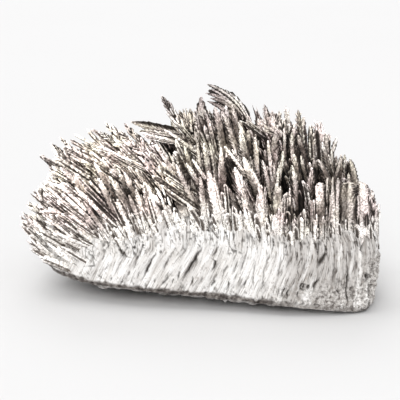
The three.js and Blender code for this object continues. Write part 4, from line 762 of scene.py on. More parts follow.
    (38.6, -18.4, 31.2, 37.2, -19.5, 39.8, 2.33, "f", 0),
    (27.1, 15.1, 31.0, 21.6, 15.7, 59.5, 3.75, "l", 0),
    (-1.4, 17.9, 30.8, -14.7, 19.4, 53.7, 4.06, "f", 0),
    (-34.0, -16.0, 22.4, -42.6, -17.3, 31.0, 4.08, "f", 0),
    (15.5, -2.0, 34.0, 5.1, -3.4, 56.9, 4.01, "b", 0),
    (54.7, 14.2, 24.9, 56.5, 16.4, 36.8, 3.25, "b", 0),
    (50.2, -12.3, 29.4, 48.8, -11.2, 40.9, 3.00, "s", 0),
    (-10.2, 24.6, 26.7, -18.4, 30.0, 36.5, 4.18, "f", 0),
    (40.0, -2.7, 31.3, 33.9, -2.7, 57.4, 2.85, "l", 0),
    (31.5, -21.2, 30.9, 31.4, -22.4, 38.4, 2.97, "k", 0),
    (-45.7, -6.2, 21.2, -49.9, -6.5, 26.1, 2.31, "b", 0),
    (-29.5, 12.1, 28.8, -47.6, 15.3, 43.6, 4.32, "f", 0),
    (23.7, 29.7, 23.5, 24.5, 34.9, 31.6, 2.61, "l", 0),
    (29.0, -0.6, 32.8, 23.1, -1.8, 55.5, 2.78, "l", 0),
    (-22.0, 22.6, 26.4, -31.4, 28.4, 38.7, 3.88, "f", 0),
    (49.2, 15.5, 26.2, 52.4, 20.1, 41.5, 2.78, "l", 0),
    (-3.5, -16.6, 31.8, -10.7, -19.4, 43.8, 2.64, "b", 0),
    (2.7, 27.5, 25.2, 0.1, 33.5, 33.1, 3.28, "l", 0),
    (32.8, -7.4, 32.5, 28.8, -7.6, 51.8, 4.28, "l", 0),
    (17.2, -9.7, 33.5, 13.2, -12.2, 51.2, 4.17, "h", 0),
    (25.3, -26.0, 29.4, 24.0, -26.9, 35.7, 2.36, "k", 0),
    (-39.2, 16.4, 24.5, -54.3, 21.6, 37.0, 3.46, "f", 0),
    (-19.3, 10.1, 31.8, -37.5, 10.7, 46.5, 3.43, "f", 0),
    (57.5, -3.6, 27.1, 56.2, -3.5, 33.4, 2.99, "l", 0),
    (-29.3, 27.5, 21.9, -39.6, 33.8, 30.8, 4.35, "f", 0),
    (21.2, 2.4, 33.5, 11.6, 6.7, 60.6, 3.14, "f", 0),
    (23.1, 20.4, 29.3, 20.7, 26.9, 44.4, 3.50, "s", 0),
    (-12.8, 29.2, 23.1, -18.3, 34.2, 28.8, 2.37, "l", 0),
    (52.3, -8.3, 28.9, 50.2, -9.7, 40.5, 3.01, "f", 0),
    (12.4, -20.1, 31.4, 9.7, -21.0, 39.9, 2.66, "l", 0),
    (34.5, -20.7, 31.0, 34.0, -22.1, 39.5, 2.83, "l", 0),
    (43.0, 6.4, 29.8, 42.6, 7.6, 47.6, 3.94, "b", 0),
    (-18.7, -9.1, 30.5, -30.0, -11.7, 41.7, 2.68, "s", 0),
    (52.4, 6.4, 27.3, 54.5, 6.9, 41.1, 4.26, "l", 0),
    (28.1, 6.3, 32.4, 24.8, 6.7, 54.3, 4.39, "s", 0),
    (19.6, 9.8, 32.9, 15.3, 13.3, 55.0, 2.98, "l", 0),
    (-17.2, -4.9, 31.9, -27.9, -4.6, 43.2, 2.86, "f", 0),
    (-38.8, -12.5, 21.9, -49.3, -14.0, 32.9, 3.90, "s", 0),
    (39.8, -24.6, 29.7, 38.8, -24.9, 35.1, 2.51, "k", 0),
    (12.7, 30.9, 22.8, 12.5, 36.1, 28.8, 3.18, "b", 0),
    (4.7, -2.3, 34.1, -2.0, -2.7, 50.7, 4.29, "f", 0),
    (32.5, 13.6, 30.6, 27.6, 17.3, 56.9, 3.63, "s", 0),
    (-7.8, 9.4, 33.4, -24.5, 10.2, 49.5, 3.76, "f", 0),
    (36.9, 9.6, 30.6, 34.3, 10.7, 51.5, 3.88, "s", 0),
    (15.9, -21.3, 31.2, 8.0, -21.1, 53.4, 3.75, "s", 0),
    (32.4, -32.5, 26.5, 32.0, -32.9, 32.5, 2.13, "b", 0),
    (-34.4, -12.7, 23.8, -46.6, -14.6, 37.3, 2.91, "b", 0),
    (43.5, 16.1, 27.6, 43.1, 18.0, 54.5, 3.65, "l", 0),
    (-9.8, 0.1, 33.6, -25.2, 2.0, 50.9, 3.38, "f", 0),
    (5.8, 11.1, 33.0, -3.9, 14.8, 60.1, 3.11, "b", 0),
    (-30.0, 2.1, 29.4, -37.8, 2.5, 36.8, 3.12, "l", 0),
    (17.1, 3.0, 54.3, 4.7, 3.0, 65.5, 4.45, "q", 1),
]

# cracks and grooves of the wall: width, depth, points
CRACKS = [
    (0.9, 1.3, [(-13.6, -26.8, 20.7), (-15.4, -26.9, 17.6), (-16.7, -27.0, 14.4), (-18.8, -26.9, 10.1)]),
    (0.5, 0.7, [(-17.7, -25.7, 23.9), (-19.4, -26.0, 19.7), (-21.5, -26.2, 14.2)]),
    (1.5, 1.6, [(1.8, -28.9, 22.4), (0.1, -28.9, 20.0), (-1.5, -29.0, 17.2), (-3.6, -28.9, 13.6), (-5.2, -28.8, 10.4)]),
    (0.7, 0.9, [(-5.6, -28.6, 14.2), (-6.6, -28.6, 10.7)]),
    (1.2, 1.2, [(-10.9, -26.0, 29.2), (-10.2, -26.2, 28.2), (-9.9, -26.4, 27.6)]),
    (0.8, 0.9, [(4.8, -29.7, 18.8), (5.8, -29.9, 17.5), (5.5, -30.0, 15.4), (4.2, -30.0, 14.0)]),
    (1.0, 0.5, [(10.2, -30.2, 20.7), (11.5, -30.4, 20.4)]),
    (1.0, 0.5, [(13.8, -30.6, 21.2), (14.8, -30.8, 20.9)]),
    (0.7, 0.8, [(16.2, -32.0, 11.8), (15.2, -31.9, 9.3)]),
    (0.7, 0.8, [(10.9, -31.0, 11.5), (9.6, -31.0, 7.9)]),
    (1.8, 0.8, [(42.8, -33.9, 22.9), (41.2, -34.3, 19.9), (39.9, -34.7, 16.9)]),
    (0.8, 0.9, [(40.3, -34.9, 13.5), (39.0, -35.1, 11.1), (38.1, -35.2, 9.0)]),
    (1.0, 0.8, [(49.6, -33.4, 19.3), (49.7, -33.7, 14.1), (49.9, -33.9, 8.9), (50.0, -34.0, 1.9)]),
    (1.1, 1.2, [(55.7, -30.5, 28.1), (54.7, -31.4, 24.5), (54.7, -31.8, 20.5)]),
    (2.2, 1.6, [(56.0, -31.6, 14.5), (56.4, -31.4, 12.7), (56.8, -31.2, 10.8)]),
    (2.0, 1.6, [(56.8, -31.2, 10.1), (57.3, -30.8, 8.6), (57.3, -30.6, 6.7)]),
    (2.2, 1.5, [(34.7, -35.2, 10.6), (35.1, -35.2, 10.4), (35.4, -35.2, 10.3)]),
    (1.2, 1.0, [(46.5, -34.5, 8.8), (46.8, -34.5, 8.4), (47.2, -34.4, 8.1)]),
    (1.4, 1.2, [(37.4, -35.1, 11.5), (37.0, -35.2, 10.4), (36.7, -35.3, 9.4)]),
    (1.6, 1.4, [(58.1, -29.6, 17.4), (58.2, -29.6, 15.6), (58.2, -29.6, 14.2)]),
    (0.7, 0.7, [(-47.6, -14.7, 15.9), (-43.9, -17.6, 14.3), (-41.5, -19.2, 11.9)]),
    (0.6, 0.6, [(-36.0, -21.5, 17.3), (-35.4, -22.1, 13.5), (-39.3, -20.3, 12.6)]),
    (0.7, 0.9, [(-50.8, 15.9, 13.7), (-47.7, 17.8, 11.2)]),
    (0.6, 0.8, [(-47.6, 21.4, 16.7), (-45.8, 22.1, 15.0), (-44.0, 22.8, 13.6)]),
    (0.7, 0.8, [(-57.2, 2.4, 18.8), (-52.7, -9.2, 17.8)]),
    (0.6, 0.6, [(-54.8, -6.0, 17.2), (-50.7, -11.8, 16.1)]),
    (0.6, 0.6, [(-52.3, -9.8, 17.3), (-47.6, -14.6, 16.2), (-43.9, -17.5, 15.0)]),
    (0.5, 0.6, [(-56.8, 4.7, 16.3), (-53.1, -8.6, 18.4)]),
    (0.5, 0.5, [(-44.7, 21.8, 12.7), (-41.8, 22.4, 9.8), (-36.0, -21.0, 20.3)]),
    (0.6, 0.8, [(-37.2, 26.1, 11.9), (-36.1, 25.9, 10.0), (-31.4, -22.4, 22.5)]),
    (0.6, 0.9, [(-34.3, 27.3, 11.9), (-33.5, 26.9, 9.6), (-29.7, -22.8, 23.0)]),
    (0.5, 0.6, [(-38.8, -20.0, 18.6), (-36.0, -21.5, 16.6), (-33.9, -22.6, 15.1)]),
    (0.5, 0.6, [(-53.3, -8.4, 12.8), (-49.3, -13.2, 11.1)]),
    (0.6, 0.7, [(-29.1, -24.5, 10.4), (-29.8, -24.3, 8.9)]),
    (0.6, 0.7, [(-25.3, -25.6, 9.7), (-26.4, -25.4, 7.8)]),
    (0.6, 0.6, [(-34.4, -22.6, 10.5), (-32.3, -23.4, 9.3)]),
    (0.5, 0.6, [(-38.6, -20.7, 11.6), (-36.8, -21.5, 9.7)]),
    (0.6, 0.5, [(19.1, -31.9, 18.8), (18.8, -32.4, 13.7), (18.6, -32.7, 8.5)]),
    (0.6, 0.5, [(22.4, -32.8, 17.3), (21.5, -33.4, 8.8)]),
    (0.6, 0.5, [(27.7, -33.4, 21.0), (27.1, -33.8, 16.6), (26.4, -34.1, 12.5)]),
    (0.6, 0.5, [(30.6, -33.9, 21.1), (29.4, -34.2, 16.7)]),
    (0.5, 0.5, [(33.9, -34.5, 18.9), (33.0, -35.0, 12.8)]),
    (0.5, 0.5, [(13.2, -30.9, 17.8), (11.5, -31.1, 12.9)]),
    (0.5, 0.5, [(6.5, -30.3, 14.1), (4.9, -30.2, 9.8)]),
    (0.5, 0.6, [(-9.3, -27.6, 19.2), (-11.7, -27.7, 13.2)]),
    (0.5, 0.5, [(-25.2, -25.1, 17.3), (-28.1, -24.8, 11.6)]),
    (0.5, 0.5, [(-29.7, -24.0, 15.6), (-31.9, -23.5, 11.8)]),
    (0.6, 0.5, [(45.6, -34.1, 18.8), (45.1, -34.6, 10.9)]),
    (0.6, 0.6, [(52.6, -32.3, 22.4), (52.9, -33.0, 12.2)]),
    (0.6, 0.5, [(36.6, -34.3, 21.3), (35.0, -35.0, 14.5)]),
    (0.6, 1.1, [(37.8, 27.8, 14.9), (33.6, -33.6, 25.2)]),
    (0.6, 1.2, [(31.8, 30.0, 17.0), (28.3, -32.4, 28.0)]),
    (0.5, 1.0, [(33.7, 29.4, 16.0), (34.1, 28.6, 10.7)]),
    (0.5, 0.9, [(41.4, 26.6, 19.1), (42.1, 25.8, 15.5)]),
    (0.7, 1.3, [(48.1, 22.6, 21.8), (49.5, 20.0, 13.3)]),
    (0.6, 1.3, [(53.4, 17.3, 22.9), (48.8, -32.7, 27.4)]),
    (0.6, 1.2, [(57.8, 10.6, 25.5), (58.3, 7.5, 18.5)]),
    (0.5, 0.9, [(16.0, 32.3, 16.8), (15.5, -29.9, 27.9)]),
    (0.5, 0.9, [(12.6, 32.4, 15.6), (12.1, -29.1, 29.8)]),
    (0.5, 0.8, [(12.1, -29.3, 28.8), (12.5, -29.9, 25.1)]),
    (0.6, 1.0, [(5.8, 32.5, 13.6), (5.5, -28.6, 27.5)]),
    (0.5, 0.9, [(3.9, 32.6, 14.7), (3.8, -28.1, 29.5)]),
    (0.7, 1.1, [(-0.3, 32.6, 16.7), (1.2, -27.7, 29.7), (-0.2, -28.3, 24.7)]),
    (0.6, 1.0, [(-4.5, 32.3, 13.6), (-2.5, -27.6, 27.2)]),
    (0.5, 0.9, [(27.4, 30.9, 16.8), (27.8, 30.3, 11.8)]),
    (0.6, 1.1, [(-20.4, 31.4, 17.0), (-18.9, 31.0, 11.6)]),
    (0.6, 1.0, [(-18.5, 31.6, 17.0), (-18.6, 31.0, 11.6)]),
    (0.5, 0.9, [(-21.6, 31.2, 15.9), (-17.7, -25.1, 27.2)]),
    (0.5, 0.8, [(8.8, 32.7, 16.7), (8.2, -28.6, 29.6)]),
    (0.5, 0.8, [(20.9, 31.8, 16.5), (18.8, -30.3, 28.7)]),
    (0.5, 0.8, [(24.4, 31.3, 15.5), (21.7, -31.0, 28.3)]),
    (0.6, 0.8, [(44.2, 24.9, 18.4), (44.7, 23.7, 12.2)]),
    (0.5, 0.7, [(-14.0, -27.5, 11.0), (-14.7, -27.5, 9.2)]),
    (0.6, 0.8, [(-10.0, -28.0, 11.9), (-12.4, -27.8, 8.3)]),
    (0.5, 0.7, [(-7.9, -28.4, 11.3), (-8.6, -28.3, 9.2)]),
    (0.6, 0.9, [(-1.5, -29.3, 12.0), (-2.6, -29.2, 8.8)]),
    (0.6, 0.9, [(6.2, -30.4, 11.6), (4.5, -30.2, 8.4)]),
    (0.5, 0.8, [(28.8, -34.7, 10.3), (28.2, -34.8, 6.8)]),
    (0.5, 0.8, [(30.4, -35.0, 10.0), (29.5, -35.1, 6.2)]),
    (0.5, 0.7, [(33.7, -35.3, 9.4), (33.1, -35.4, 6.3)]),
    (0.5, 0.7, [(27.1, -34.5, 9.8), (26.5, -34.6, 6.4)]),
    (0.5, 0.7, [(22.2, -33.4, 10.9), (20.9, -33.3, 8.0)]),
    (0.5, 0.6, [(1.5, -29.7, 12.1), (0.5, -29.6, 9.6)]),
    (0.5, 0.6, [(-22.5, -26.1, 13.4), (-23.9, -25.9, 10.9)]),
    (0.5, 0.6, [(-19.5, -26.6, 13.2), (-20.5, -26.6, 10.7)]),
    (0.5, 0.5, [(10.2, -30.5, 17.6), (8.2, -30.6, 12.1)]),
    (0.5, 0.5, [(16.2, -31.2, 20.0), (14.2, -31.4, 13.7)]),
    (0.5, 0.5, [(24.1, -32.6, 21.8), (22.1, -33.0, 14.9)]),
    (0.5, 0.5, [(-7.2, -27.5, 22.7), (-9.9, -27.8, 16.8)]),
    (0.5, 0.5, [(-2.9, -28.1, 23.5), (-6.6, -28.3, 16.9)]),
    (0.5, 0.5, [(7.5, -29.4, 23.9), (4.8, -29.7, 18.8)]),
    (0.5, 0.5, [(-22.8, -24.9, 22.6), (-27.0, -24.8, 15.8)]),
    (0.5, 0.5, [(-28.6, -23.2, 23.1), (-33.2, -22.6, 17.3)]),
    (0.7, 0.8, [(36.2, -35.2, 10.4), (35.9, -35.3, 9.7), (35.1, -35.3, 9.3), (34.2, -35.3, 9.7), (33.9, -35.2, 10.4), (34.2, -35.2, 11.2), (35.0, -35.2, 11.5), (35.9, -35.2, 11.2), (36.2, -35.2, 10.4)]),
]

CAMERA_AT = np.array([0.82, -455.77, 153.06])
CAMERA_TILT = 15.00          # degrees below the horizon
LENS = 120.0


# ---------------------------------------------------------------- noise
def _hash(ix, iy, iz, seed):
    h = (ix * 374761393 + iy * 668265263 + iz * 2147483647 + seed * 1442695041) & 0xFFFFFFFF
    h = ((h ^ (h >> 13)) * 1274126177) & 0xFFFFFFFF
    h = ((h ^ (h >> 16)) * 2246822519) & 0xFFFFFFFF
    return ((h ^ (h >> 15)) & 0xFFFFFF) / float(0xFFFFFF)


def noise(x, y, z, seed=0):
    """smooth value noise, 0 to 1"""
    x, y, z = np.broadcast_arrays(np.asarray(x, float), np.asarray(y, float), np.asarray(z, float))
    ix, iy, iz = np.floor(x).astype(np.int64), np.floor(y).astype(np.int64), np.floor(z).astype(np.int64)
    fx, fy, fz = x - ix, y - iy, z - iz
    fx, fy, fz = fx * fx * (3 - 2 * fx), fy * fy * (3 - 2 * fy), fz * fz * (3 - 2 * fz)
    out = 0.0
    for dx in (0, 1):
        for dy in (0, 1):
            for dz in (0, 1):
                wgt = (fx if dx else 1 - fx) * (fy if dy else 1 - fy) * (fz if dz else 1 - fz)
                out = out + wgt * _hash(ix + dx, iy + dy, iz + dz, seed)
    return out


def fbm(x, y, z, octaves=3, seed=0):
    total, amp, norm = 0.0, 1.0, 0.0
    for k in range(octaves):
        f = 2.03 ** k
        total = total + amp * noise(x * f, y * f, z * f, seed + 17 * k)
        norm += amp
        amp *= 0.5
    return total / norm


def smooth(a, b, x):
    t = np.clip((x - a) / (b - a), 0, 1)
    return t * t * (3 - 2 * t)


# ---------------------------------------------------------------- mesh helper
def make_mesh(name, verts_mm, faces, attrs, material, smooth_shade=False):
    mesh = bpy.data.meshes.new(name)
    n, m = len(verts_mm), len(faces)
    mesh.vertices.add(n)
    mesh.vertices.foreach_set("co", (np.asarray(verts_mm, np.float64) * MM).astype(np.float32).ravel())
    mesh.loops.add(m * 3)
    mesh.loops.foreach_set("vertex_index", np.asarray(faces, np.int32).ravel())
    mesh.polygons.add(m)
    mesh.polygons.foreach_set("loop_start", np.arange(0, m * 3, 3, dtype=np.int32))
    mesh.polygons.foreach_set("loop_total", np.full(m, 3, dtype=np.int32))
    mesh.polygons.foreach_set("use_smooth", np.full(m, bool(smooth_shade)))
    for key, val in attrs.items():
        a = mesh.attributes.new(key, "FLOAT", "POINT")
        a.data.foreach_set("value", np.asarray(val, np.float32))
    mesh.update(calc_edges=True)
    mesh.validate()
    obj = bpy.data.objects.new(name, mesh)
    bpy.context.scene.collection.objects.link(obj)
    mesh.materials.append(material)
    return obj


# ---------------------------------------------------------------- the fused mass
def periodic(ctrl, t):
    """closed Catmull-Rom curve through ctrl, at t in 0..1"""
    m = len(ctrl)
    s = np.mod(np.asarray(t), 1.0) * m
    i = np.floor(s).astype(int) % m
    f = (s - np.floor(s))[:, None]
    p0, p1, p2, p3 = ctrl[(i - 1) % m], ctrl[i], ctrl[(i + 1) % m], ctrl[(i + 2) % m]
    return 0.5 * ((2 * p1) + (-p0 + p2) * f + (2 * p0 - 5 * p1 + 4 * p2 - p3) * f * f
                  + (-p0 + 3 * p1 - 3 * p2 + p3) * f ** 3)


def crown_height(x, y):
    """the surface that the crystals stand on"""
    t = np.linspace(0, 1, 720, endpoint=False)
    s = periodic(COLUMNS[:, 0:3], t)
    d = s[:, :2] - CENTRE
    ang, rad = np.arctan2(d[:, 1], d[:, 0]), np.hypot(d[:, 0], d[:, 1])
    o = np.argsort(ang)
    px, py = np.asarray(x) - CENTRE[0], np.asarray(y) - CENTRE[1]
    a, r = np.arctan2(py, px), np.hypot(px, py)
    big = np.interp(a, ang[o], rad[o], period=2 * np.pi)
    z = np.interp(a, ang[o], s[o, 2], period=2 * np.pi)
    q = np.clip(r / big, 0, 1.3)
    return z + (CROWN - z) * (1 - q ** 2.2), q


def fibre_lean(x):
    """how far the wall's fibres lean to the right as they rise"""
    return np.interp(x, [-60, -30, -5, 12, 22, 36, 46, 60], [0.62, 0.60, 0.52, 0.34, 0.22, 0.16, 0.03, 0.0])


def finger_lean(x):
    """how far the fused fingers of the shoulder lean as they rise"""
    a = np.interp(x, [-62, -45, -30, -13, 0, 8, 20, 45, 58, 63], [-40, -36, -30, -20, -12, -9, -12, -12, -6, 2])
    return np.tan(np.radians(a))


def build_mass(material):
    # more columns on the front, where the wall is tall
    tt = np.linspace(0, 1, 4000, endpoint=False)
    s = periodic(COLUMNS[:, 3:6], tt)
    seg = np.linalg.norm(np.roll(s, -1, 0) - s, axis=1)
    weight = np.where(s[:, 1] < 6, 1.0, 0.55)
    acc = np.concatenate([[0], np.cumsum(seg * weight)])
    n = 800
    t = np.interp(np.linspace(0, acc[-1], n, endpoint=False), acc, np.append(tt, 1.0))
    top, rim = periodic(COLUMNS[:, 0:3], t), periodic(COLUMNS[:, 3:6], t)
    rest = periodic(COLUMNS[:, 6:8], t)
    rest = np.concatenate([rest, np.zeros((n, 1))], 1)
    crown = np.array([CENTRE[0], CENTRE[1], CROWN])

    rows, kinds = [], []
    # underside, from the middle of the rest patch outwards
    for f in (0.45, 0.8, 1.0):
        p = rest.copy()
        p[:, :2] = CENTRE * (1 - f) + p[:, :2] * f
        rows.append(p); kinds.append(("rest", f))
    for f in np.linspace(0.08, 0.985, 22):
        p = rest * (1 - f) + rim * f
        p[:, 2] = rim[:, 2] * f ** 1.25
        rows.append(p); kinds.append(("under", f))
    for f in np.linspace(0, 1, 70):
        p = rim * (1 - f) + top * f
        out = p[:, :2] - CENTRE
        out = out / np.linalg.norm(out, axis=1)[:, None]
        # the lower edge tucks in, the shoulder rolls over
        swell = 0.6 * np.sin(np.pi * f) - 0.9 * (1 - smooth(0, 0.07, f)) - 1.2 * smooth(0.86, 1.0, f)
        p[:, :2] += out * swell[..., None] if np.ndim(swell) else out * swell
        rows.append(p); kinds.append(("wall", f))
    for q in (0.955, 0.91, 0.86, 0.80, 0.73, 0.65, 0.56, 0.46, 0.34, 0.2, 0.08):
        p = crown + (top - crown) * q
        p[:, 2] = top[:, 2] + (CROWN - top[:, 2]) * (1 - q ** 2.2)
        rows.append(p); kinds.append(("top", q))
    P = np.stack(rows)                      # rows, n, 3
    R = len(rows)
    # normals of the smooth grid
    du = np.roll(P, -1, 1) - np.roll(P, 1, 1)
    dv = np.gradient(P, axis=0)
    N = np.cross(du, dv)
    N /= np.maximum(np.linalg.norm(N, axis=2), 1e-9)[..., None]
    mid = P.mean((0, 1))
    if np.sum(N * (P - mid)) < 0:
        N = -N
    x, y, z = P[..., 0], P[..., 1], P[..., 2]
    # arc length round the wall, used across the fibres
    arc = np.concatenate([[0], np.cumsum(np.linalg.norm(np.roll(rim, -1, 0) - rim, axis=1))[:-1]])
    arc = np.broadcast_to(arc, (R, n))
    facing = np.where(y < 6, 1.0, 0.4)
    lean = fibre_lean(x) * facing
    # on the front the arc runs left to right or right to left: take the sign from x
    sign = np.sign(np.gradient(rim[:, 0]))
    sign = np.where(sign == 0, 1, sign)
    across = arc * sign - lean * z
    is_wall = np.array([k == "wall" for k, f in kinds])
    is_top = np.array([k == "top" for k, f in kinds])
    wf = np.array([f if k == "wall" else (0.0 if k in ("rest", "under") else 1.0) for k, f in kinds])[:, None]
    wf = np.broadcast_to(wf, (R, n))

    total = 2 * np.pi
    ca, sa = np.cos(arc / arc.max() * total) * 50, np.sin(arc / arc.max() * total) * 50
    # fibres: long ridges
    fib = fbm(across / 0.85, z / 9.0, y / 40.0, 3, 3)
    fib2 = fbm(across / 2.6, z / 16.0, y / 40.0, 2, 9)
    grain = fbm(x / 0.55, y / 0.55, z / 0.55, 2, 21)
    lump = fbm(x / 6, y / 6, z / 6, 2, 31)
    cut = np.abs(fbm(across / 1.5, z / 7.0, y / 60.0, 2, 45) - 0.5) * 2      # valleys near 0
    cutm = 1 - smooth(0.0, 0.16, cut)
    patchy = smooth(0.45, 0.75, fbm(x / 9, y / 9, z / 7, 2, 55))
    low = 1 - smooth(0.55, 0.85, wf)
    high = smooth(0.55, 0.85, wf)
    d = ((fib - 0.5) * 0.55 + (fib2 - 0.5) * 0.45) * (0.35 + 0.65 * low) + (grain - 0.5) * (0.26 + 0.5 * high) + (lump - 0.5) * 1.1
    d = d - cutm * patchy * 0.40 * (0.4 + 0.6 * low)
    # fused fingers near the shoulder
    # the fingers of the front row run down into the wall and fade out there
    band = (wf > 0.30) & (y < 8) & ~is_top[:, None]
    Pb = P[band]
    bb, second, fb = np.full(len(Pb), 9.0), np.full(len(Pb), 9.0), np.zeros(len(Pb))
    rs = np.random.default_rng(77)
    for bx, by, bz, tx, ty, tz, w_, kind, lead in CRYSTALS:
        deep = rs.uniform(-8, -1)
        if lead != 2:
            continue
        b0, t0 = np.array([bx, by, bz]), np.array([tx, ty, tz])
        ax = (t0 - b0) / np.linalg.norm(t0 - b0)
        run_ = (Pb - b0) @ ax
        off_ = Pb - b0 - run_[:, None] * ax
        off_[:, 1] *= 0.3
        dist = np.linalg.norm(off_, axis=1) / (w_ * 0.5)
        near = dist < bb
        second = np.where(near, bb, np.minimum(second, dist))
        fb = np.where(near, smooth(deep, 7.0, run_), fb)
        bb = np.where(near, dist, bb)
    wv_ = (fbm(Pb[:, 0] / 1.2, Pb[:, 2] / 5.0, Pb[:, 1] / 9, 2, 97) - 0.5) * 0.5
    dome, gap, up = np.zeros(x.shape), np.zeros(x.shape), np.zeros(x.shape)
    dome[band] = np.sqrt(np.clip(1 - np.minimum(bb, 1) ** 2, 0, 1))
    gap[band] = smooth(0.16, 0.0, np.abs(second - bb + wv_)) * (1 - smooth(1.3, 1.9, bb))
    up[band] = fb
    up = up * smooth(0.40, 0.70, wf) * (~is_top)[:, None]
    d = d + up * (0.45 * dome - 0.95 * gap)
    seam = gap
    # pits along the lower edge
    pitn = noise(x / 0.8, y / 0.8, z / 0.8, 71)
    pit = smooth(0.68, 0.9, pitn) * smooth(0.30, 0.0, wf) * is_wall[:, None]
    right = smooth(36, 56, x)
    endr = smooth(52, 58, x) * (1 - smooth(2, 14, y))
    d = d + endr * (1.1 * np.sin(np.pi * np.clip(wf, 0, 1) ** 0.75) + (fbm(x / 1.5, y / 1.5, z / 1.7, 3, 141) - 0.5) * 2.6
                    * smooth(0.85, 0.55, wf)) * is_wall[:, None]
    pit = np.maximum(pit, smooth(0.62, 0.84, pitn) * right * smooth(0.75, 0.2, wf) * is_wall[:, None])
    pit = np.maximum(pit, smooth(0.66, 0.84, noise(x / 0.7, y / 0.7, z / 1.0, 73)) * high * is_wall[:, None] * 0.8)
    d = d - pit * 0.55
    # the foot of the right-hand third is sugary, not fibrous
    gran = smooth(24, 40, x + (patchy - 0.5) * 8) * smooth(26, 6, y + (lump - 0.5) * 24) * smooth(0.46, 0.16, wf + (lump - 0.5) * 0.25)
    gran = np.clip(np.maximum(gran, endr * smooth(0.80, 0.5, wf)) * is_wall[:, None], 0, 1)
    d = d + gran * (fbm(x / 0.8, y / 0.8, z / 0.8, 2, 151) - 0.5) * 0.9
    crackmask = np.zeros_like(x)
    wx = (fbm(x / 1.6, y / 1.6, z / 1.6, 2, 83) - 0.5) * 1.3
    Pw = P + np.stack([wx, 0 * wx, 0.3 * wx], -1)
    for width, depth, pts in CRACKS:
        pts = np.array(pts, float)
        seg = np.linalg.norm(np.diff(pts, axis=0), axis=1)
        run = np.concatenate([[0], np.cumsum(seg)]) / seg.sum()
        best, at = np.full(x.shape, 1e9), np.zeros(x.shape)
        for k_, (a, b) in enumerate(zip(pts[:-1], pts[1:])):
            ab = b - a
            s_ = np.clip(((Pw - a) @ ab) / (ab @ ab), 0, 1)
            dist = np.linalg.norm(Pw - (a + s_[..., None] * ab), axis=2)
            near = dist < best
            at = np.where(near, run[k_] + s_ * (run[k_ + 1] - run[k_]), at)
            best = np.where(near, dist, best)
        taper = np.clip(np.minimum(at, 1 - at) / 0.3, 0.25, 1.0)
        wob = width * 0.75 * taper * (0.55 + 0.9 * noise(x / 1.1, y / 1.1, z / 1.1, 81))
        m_ = 1 - smooth(wob * 0.15, wob * 0.62 + 0.12, best)
        d = d - m_ * depth * taper
        crackmask = np.maximum(crackmask, m_ * min(1.0, depth / 0.8) * (0.5 + 0.5 * taper))
    # underside: rough crust, flat where it rests
    under = np.array([1.0 if k == "under" else 0.0 for k, f in kinds])[:, None]
    restm = np.array([1.0 if k == "rest" else 0.0 for k, f in kinds])[:, None]
    rough = (fbm(x / 1.6, y / 1.6, z / 1.6, 3, 91) - 0.5) * 2.2 + (fbm(x / 5.5, y / 5.5, z / 3.0, 2, 93) - 0.5) * 2.4
    hole = smooth(0.58, 0.80, noise(x / 1.5, y / 1.5, z / 1.5, 94))
    rough = (rough - hole * 1.1) * (1 - 0.65 * smooth(0.80, 0.98, np.array([f if k == "under" else 0.0 for k, f in kinds])[:, None]))
    fu = np.array([f if k == "under" else 0.0 for k, f in kinds])[:, None]
    d = d * (1 - under) * (1 - restm) + under * rough * smooth(0.05, 0.5, fu)
    # rim: the lowest millimetres of the wall, crusty and a little proud
    height = (z - rim[None, :, 2])
    rimm = (1 - smooth(0.9, 2.0, height + (fbm(x / 2.2, y / 2.2, z / 2.2, 2, 95) - 0.5) * 1.6)) * is_wall[:, None]
    stain = smooth(0.34, 0.66, fbm(x / 4.0, y / 4.0, z / 2.6, 3, 98))
    # the crust is strongest along the front rim, where its dark is partly the real crust and partly painted shade under
    # the edge
    front_rim = (1 - smooth(-8, 4, y)) * (1 - smooth(22, 34, x))
    rimm = rimm * (0.40 + 0.60 * front_rim)
    rimm = np.maximum(rimm, under * np.clip(0.22 + 0.60 * stain + 0.30 * front_rim * smooth(0.75, 0.95, fu), 0, 1))
    Q = P + N * d[..., None]
    Q[..., 2] = np.maximum(Q[..., 2], 0.0)
    # keep the rest patch flat
    Q = np.where(restm[..., None] > 0, P, Q)
    verts = Q.reshape(-1, 3)
    cb, ct = len(verts), len(verts) + 1
    verts = np.vstack([verts, [[CENTRE[0], CENTRE[1], 0.0]], [[crown[0], crown[1], crown[2]]]])
    idx = np.arange(R * n).reshape(R, n)
    a, b = idx[:-1], np.roll(idx, -1, 1)[:-1]
    c, e = np.roll(idx, -1, 1)[1:], idx[1:]
    F = np.concatenate([np.stack([a, b, c], -1).reshape(-1, 3), np.stack([a, c, e], -1).reshape(-1, 3)])
    i0, i1 = idx[0], np.roll(idx[0], -1)
    F = np.concatenate([F, np.stack([np.full(n, cb), i1, i0], -1)])
    i0, i1 = idx[-1], np.roll(idx[-1], -1)
    F = np.concatenate([F, np.stack([np.full(n, ct), i0, i1], -1)])
    v = verts[F]
    if np.einsum("ij,ij->i", v[:, 0], np.cross(v[:, 1], v[:, 2])).sum() < 0:
        F = F[:, ::-1]
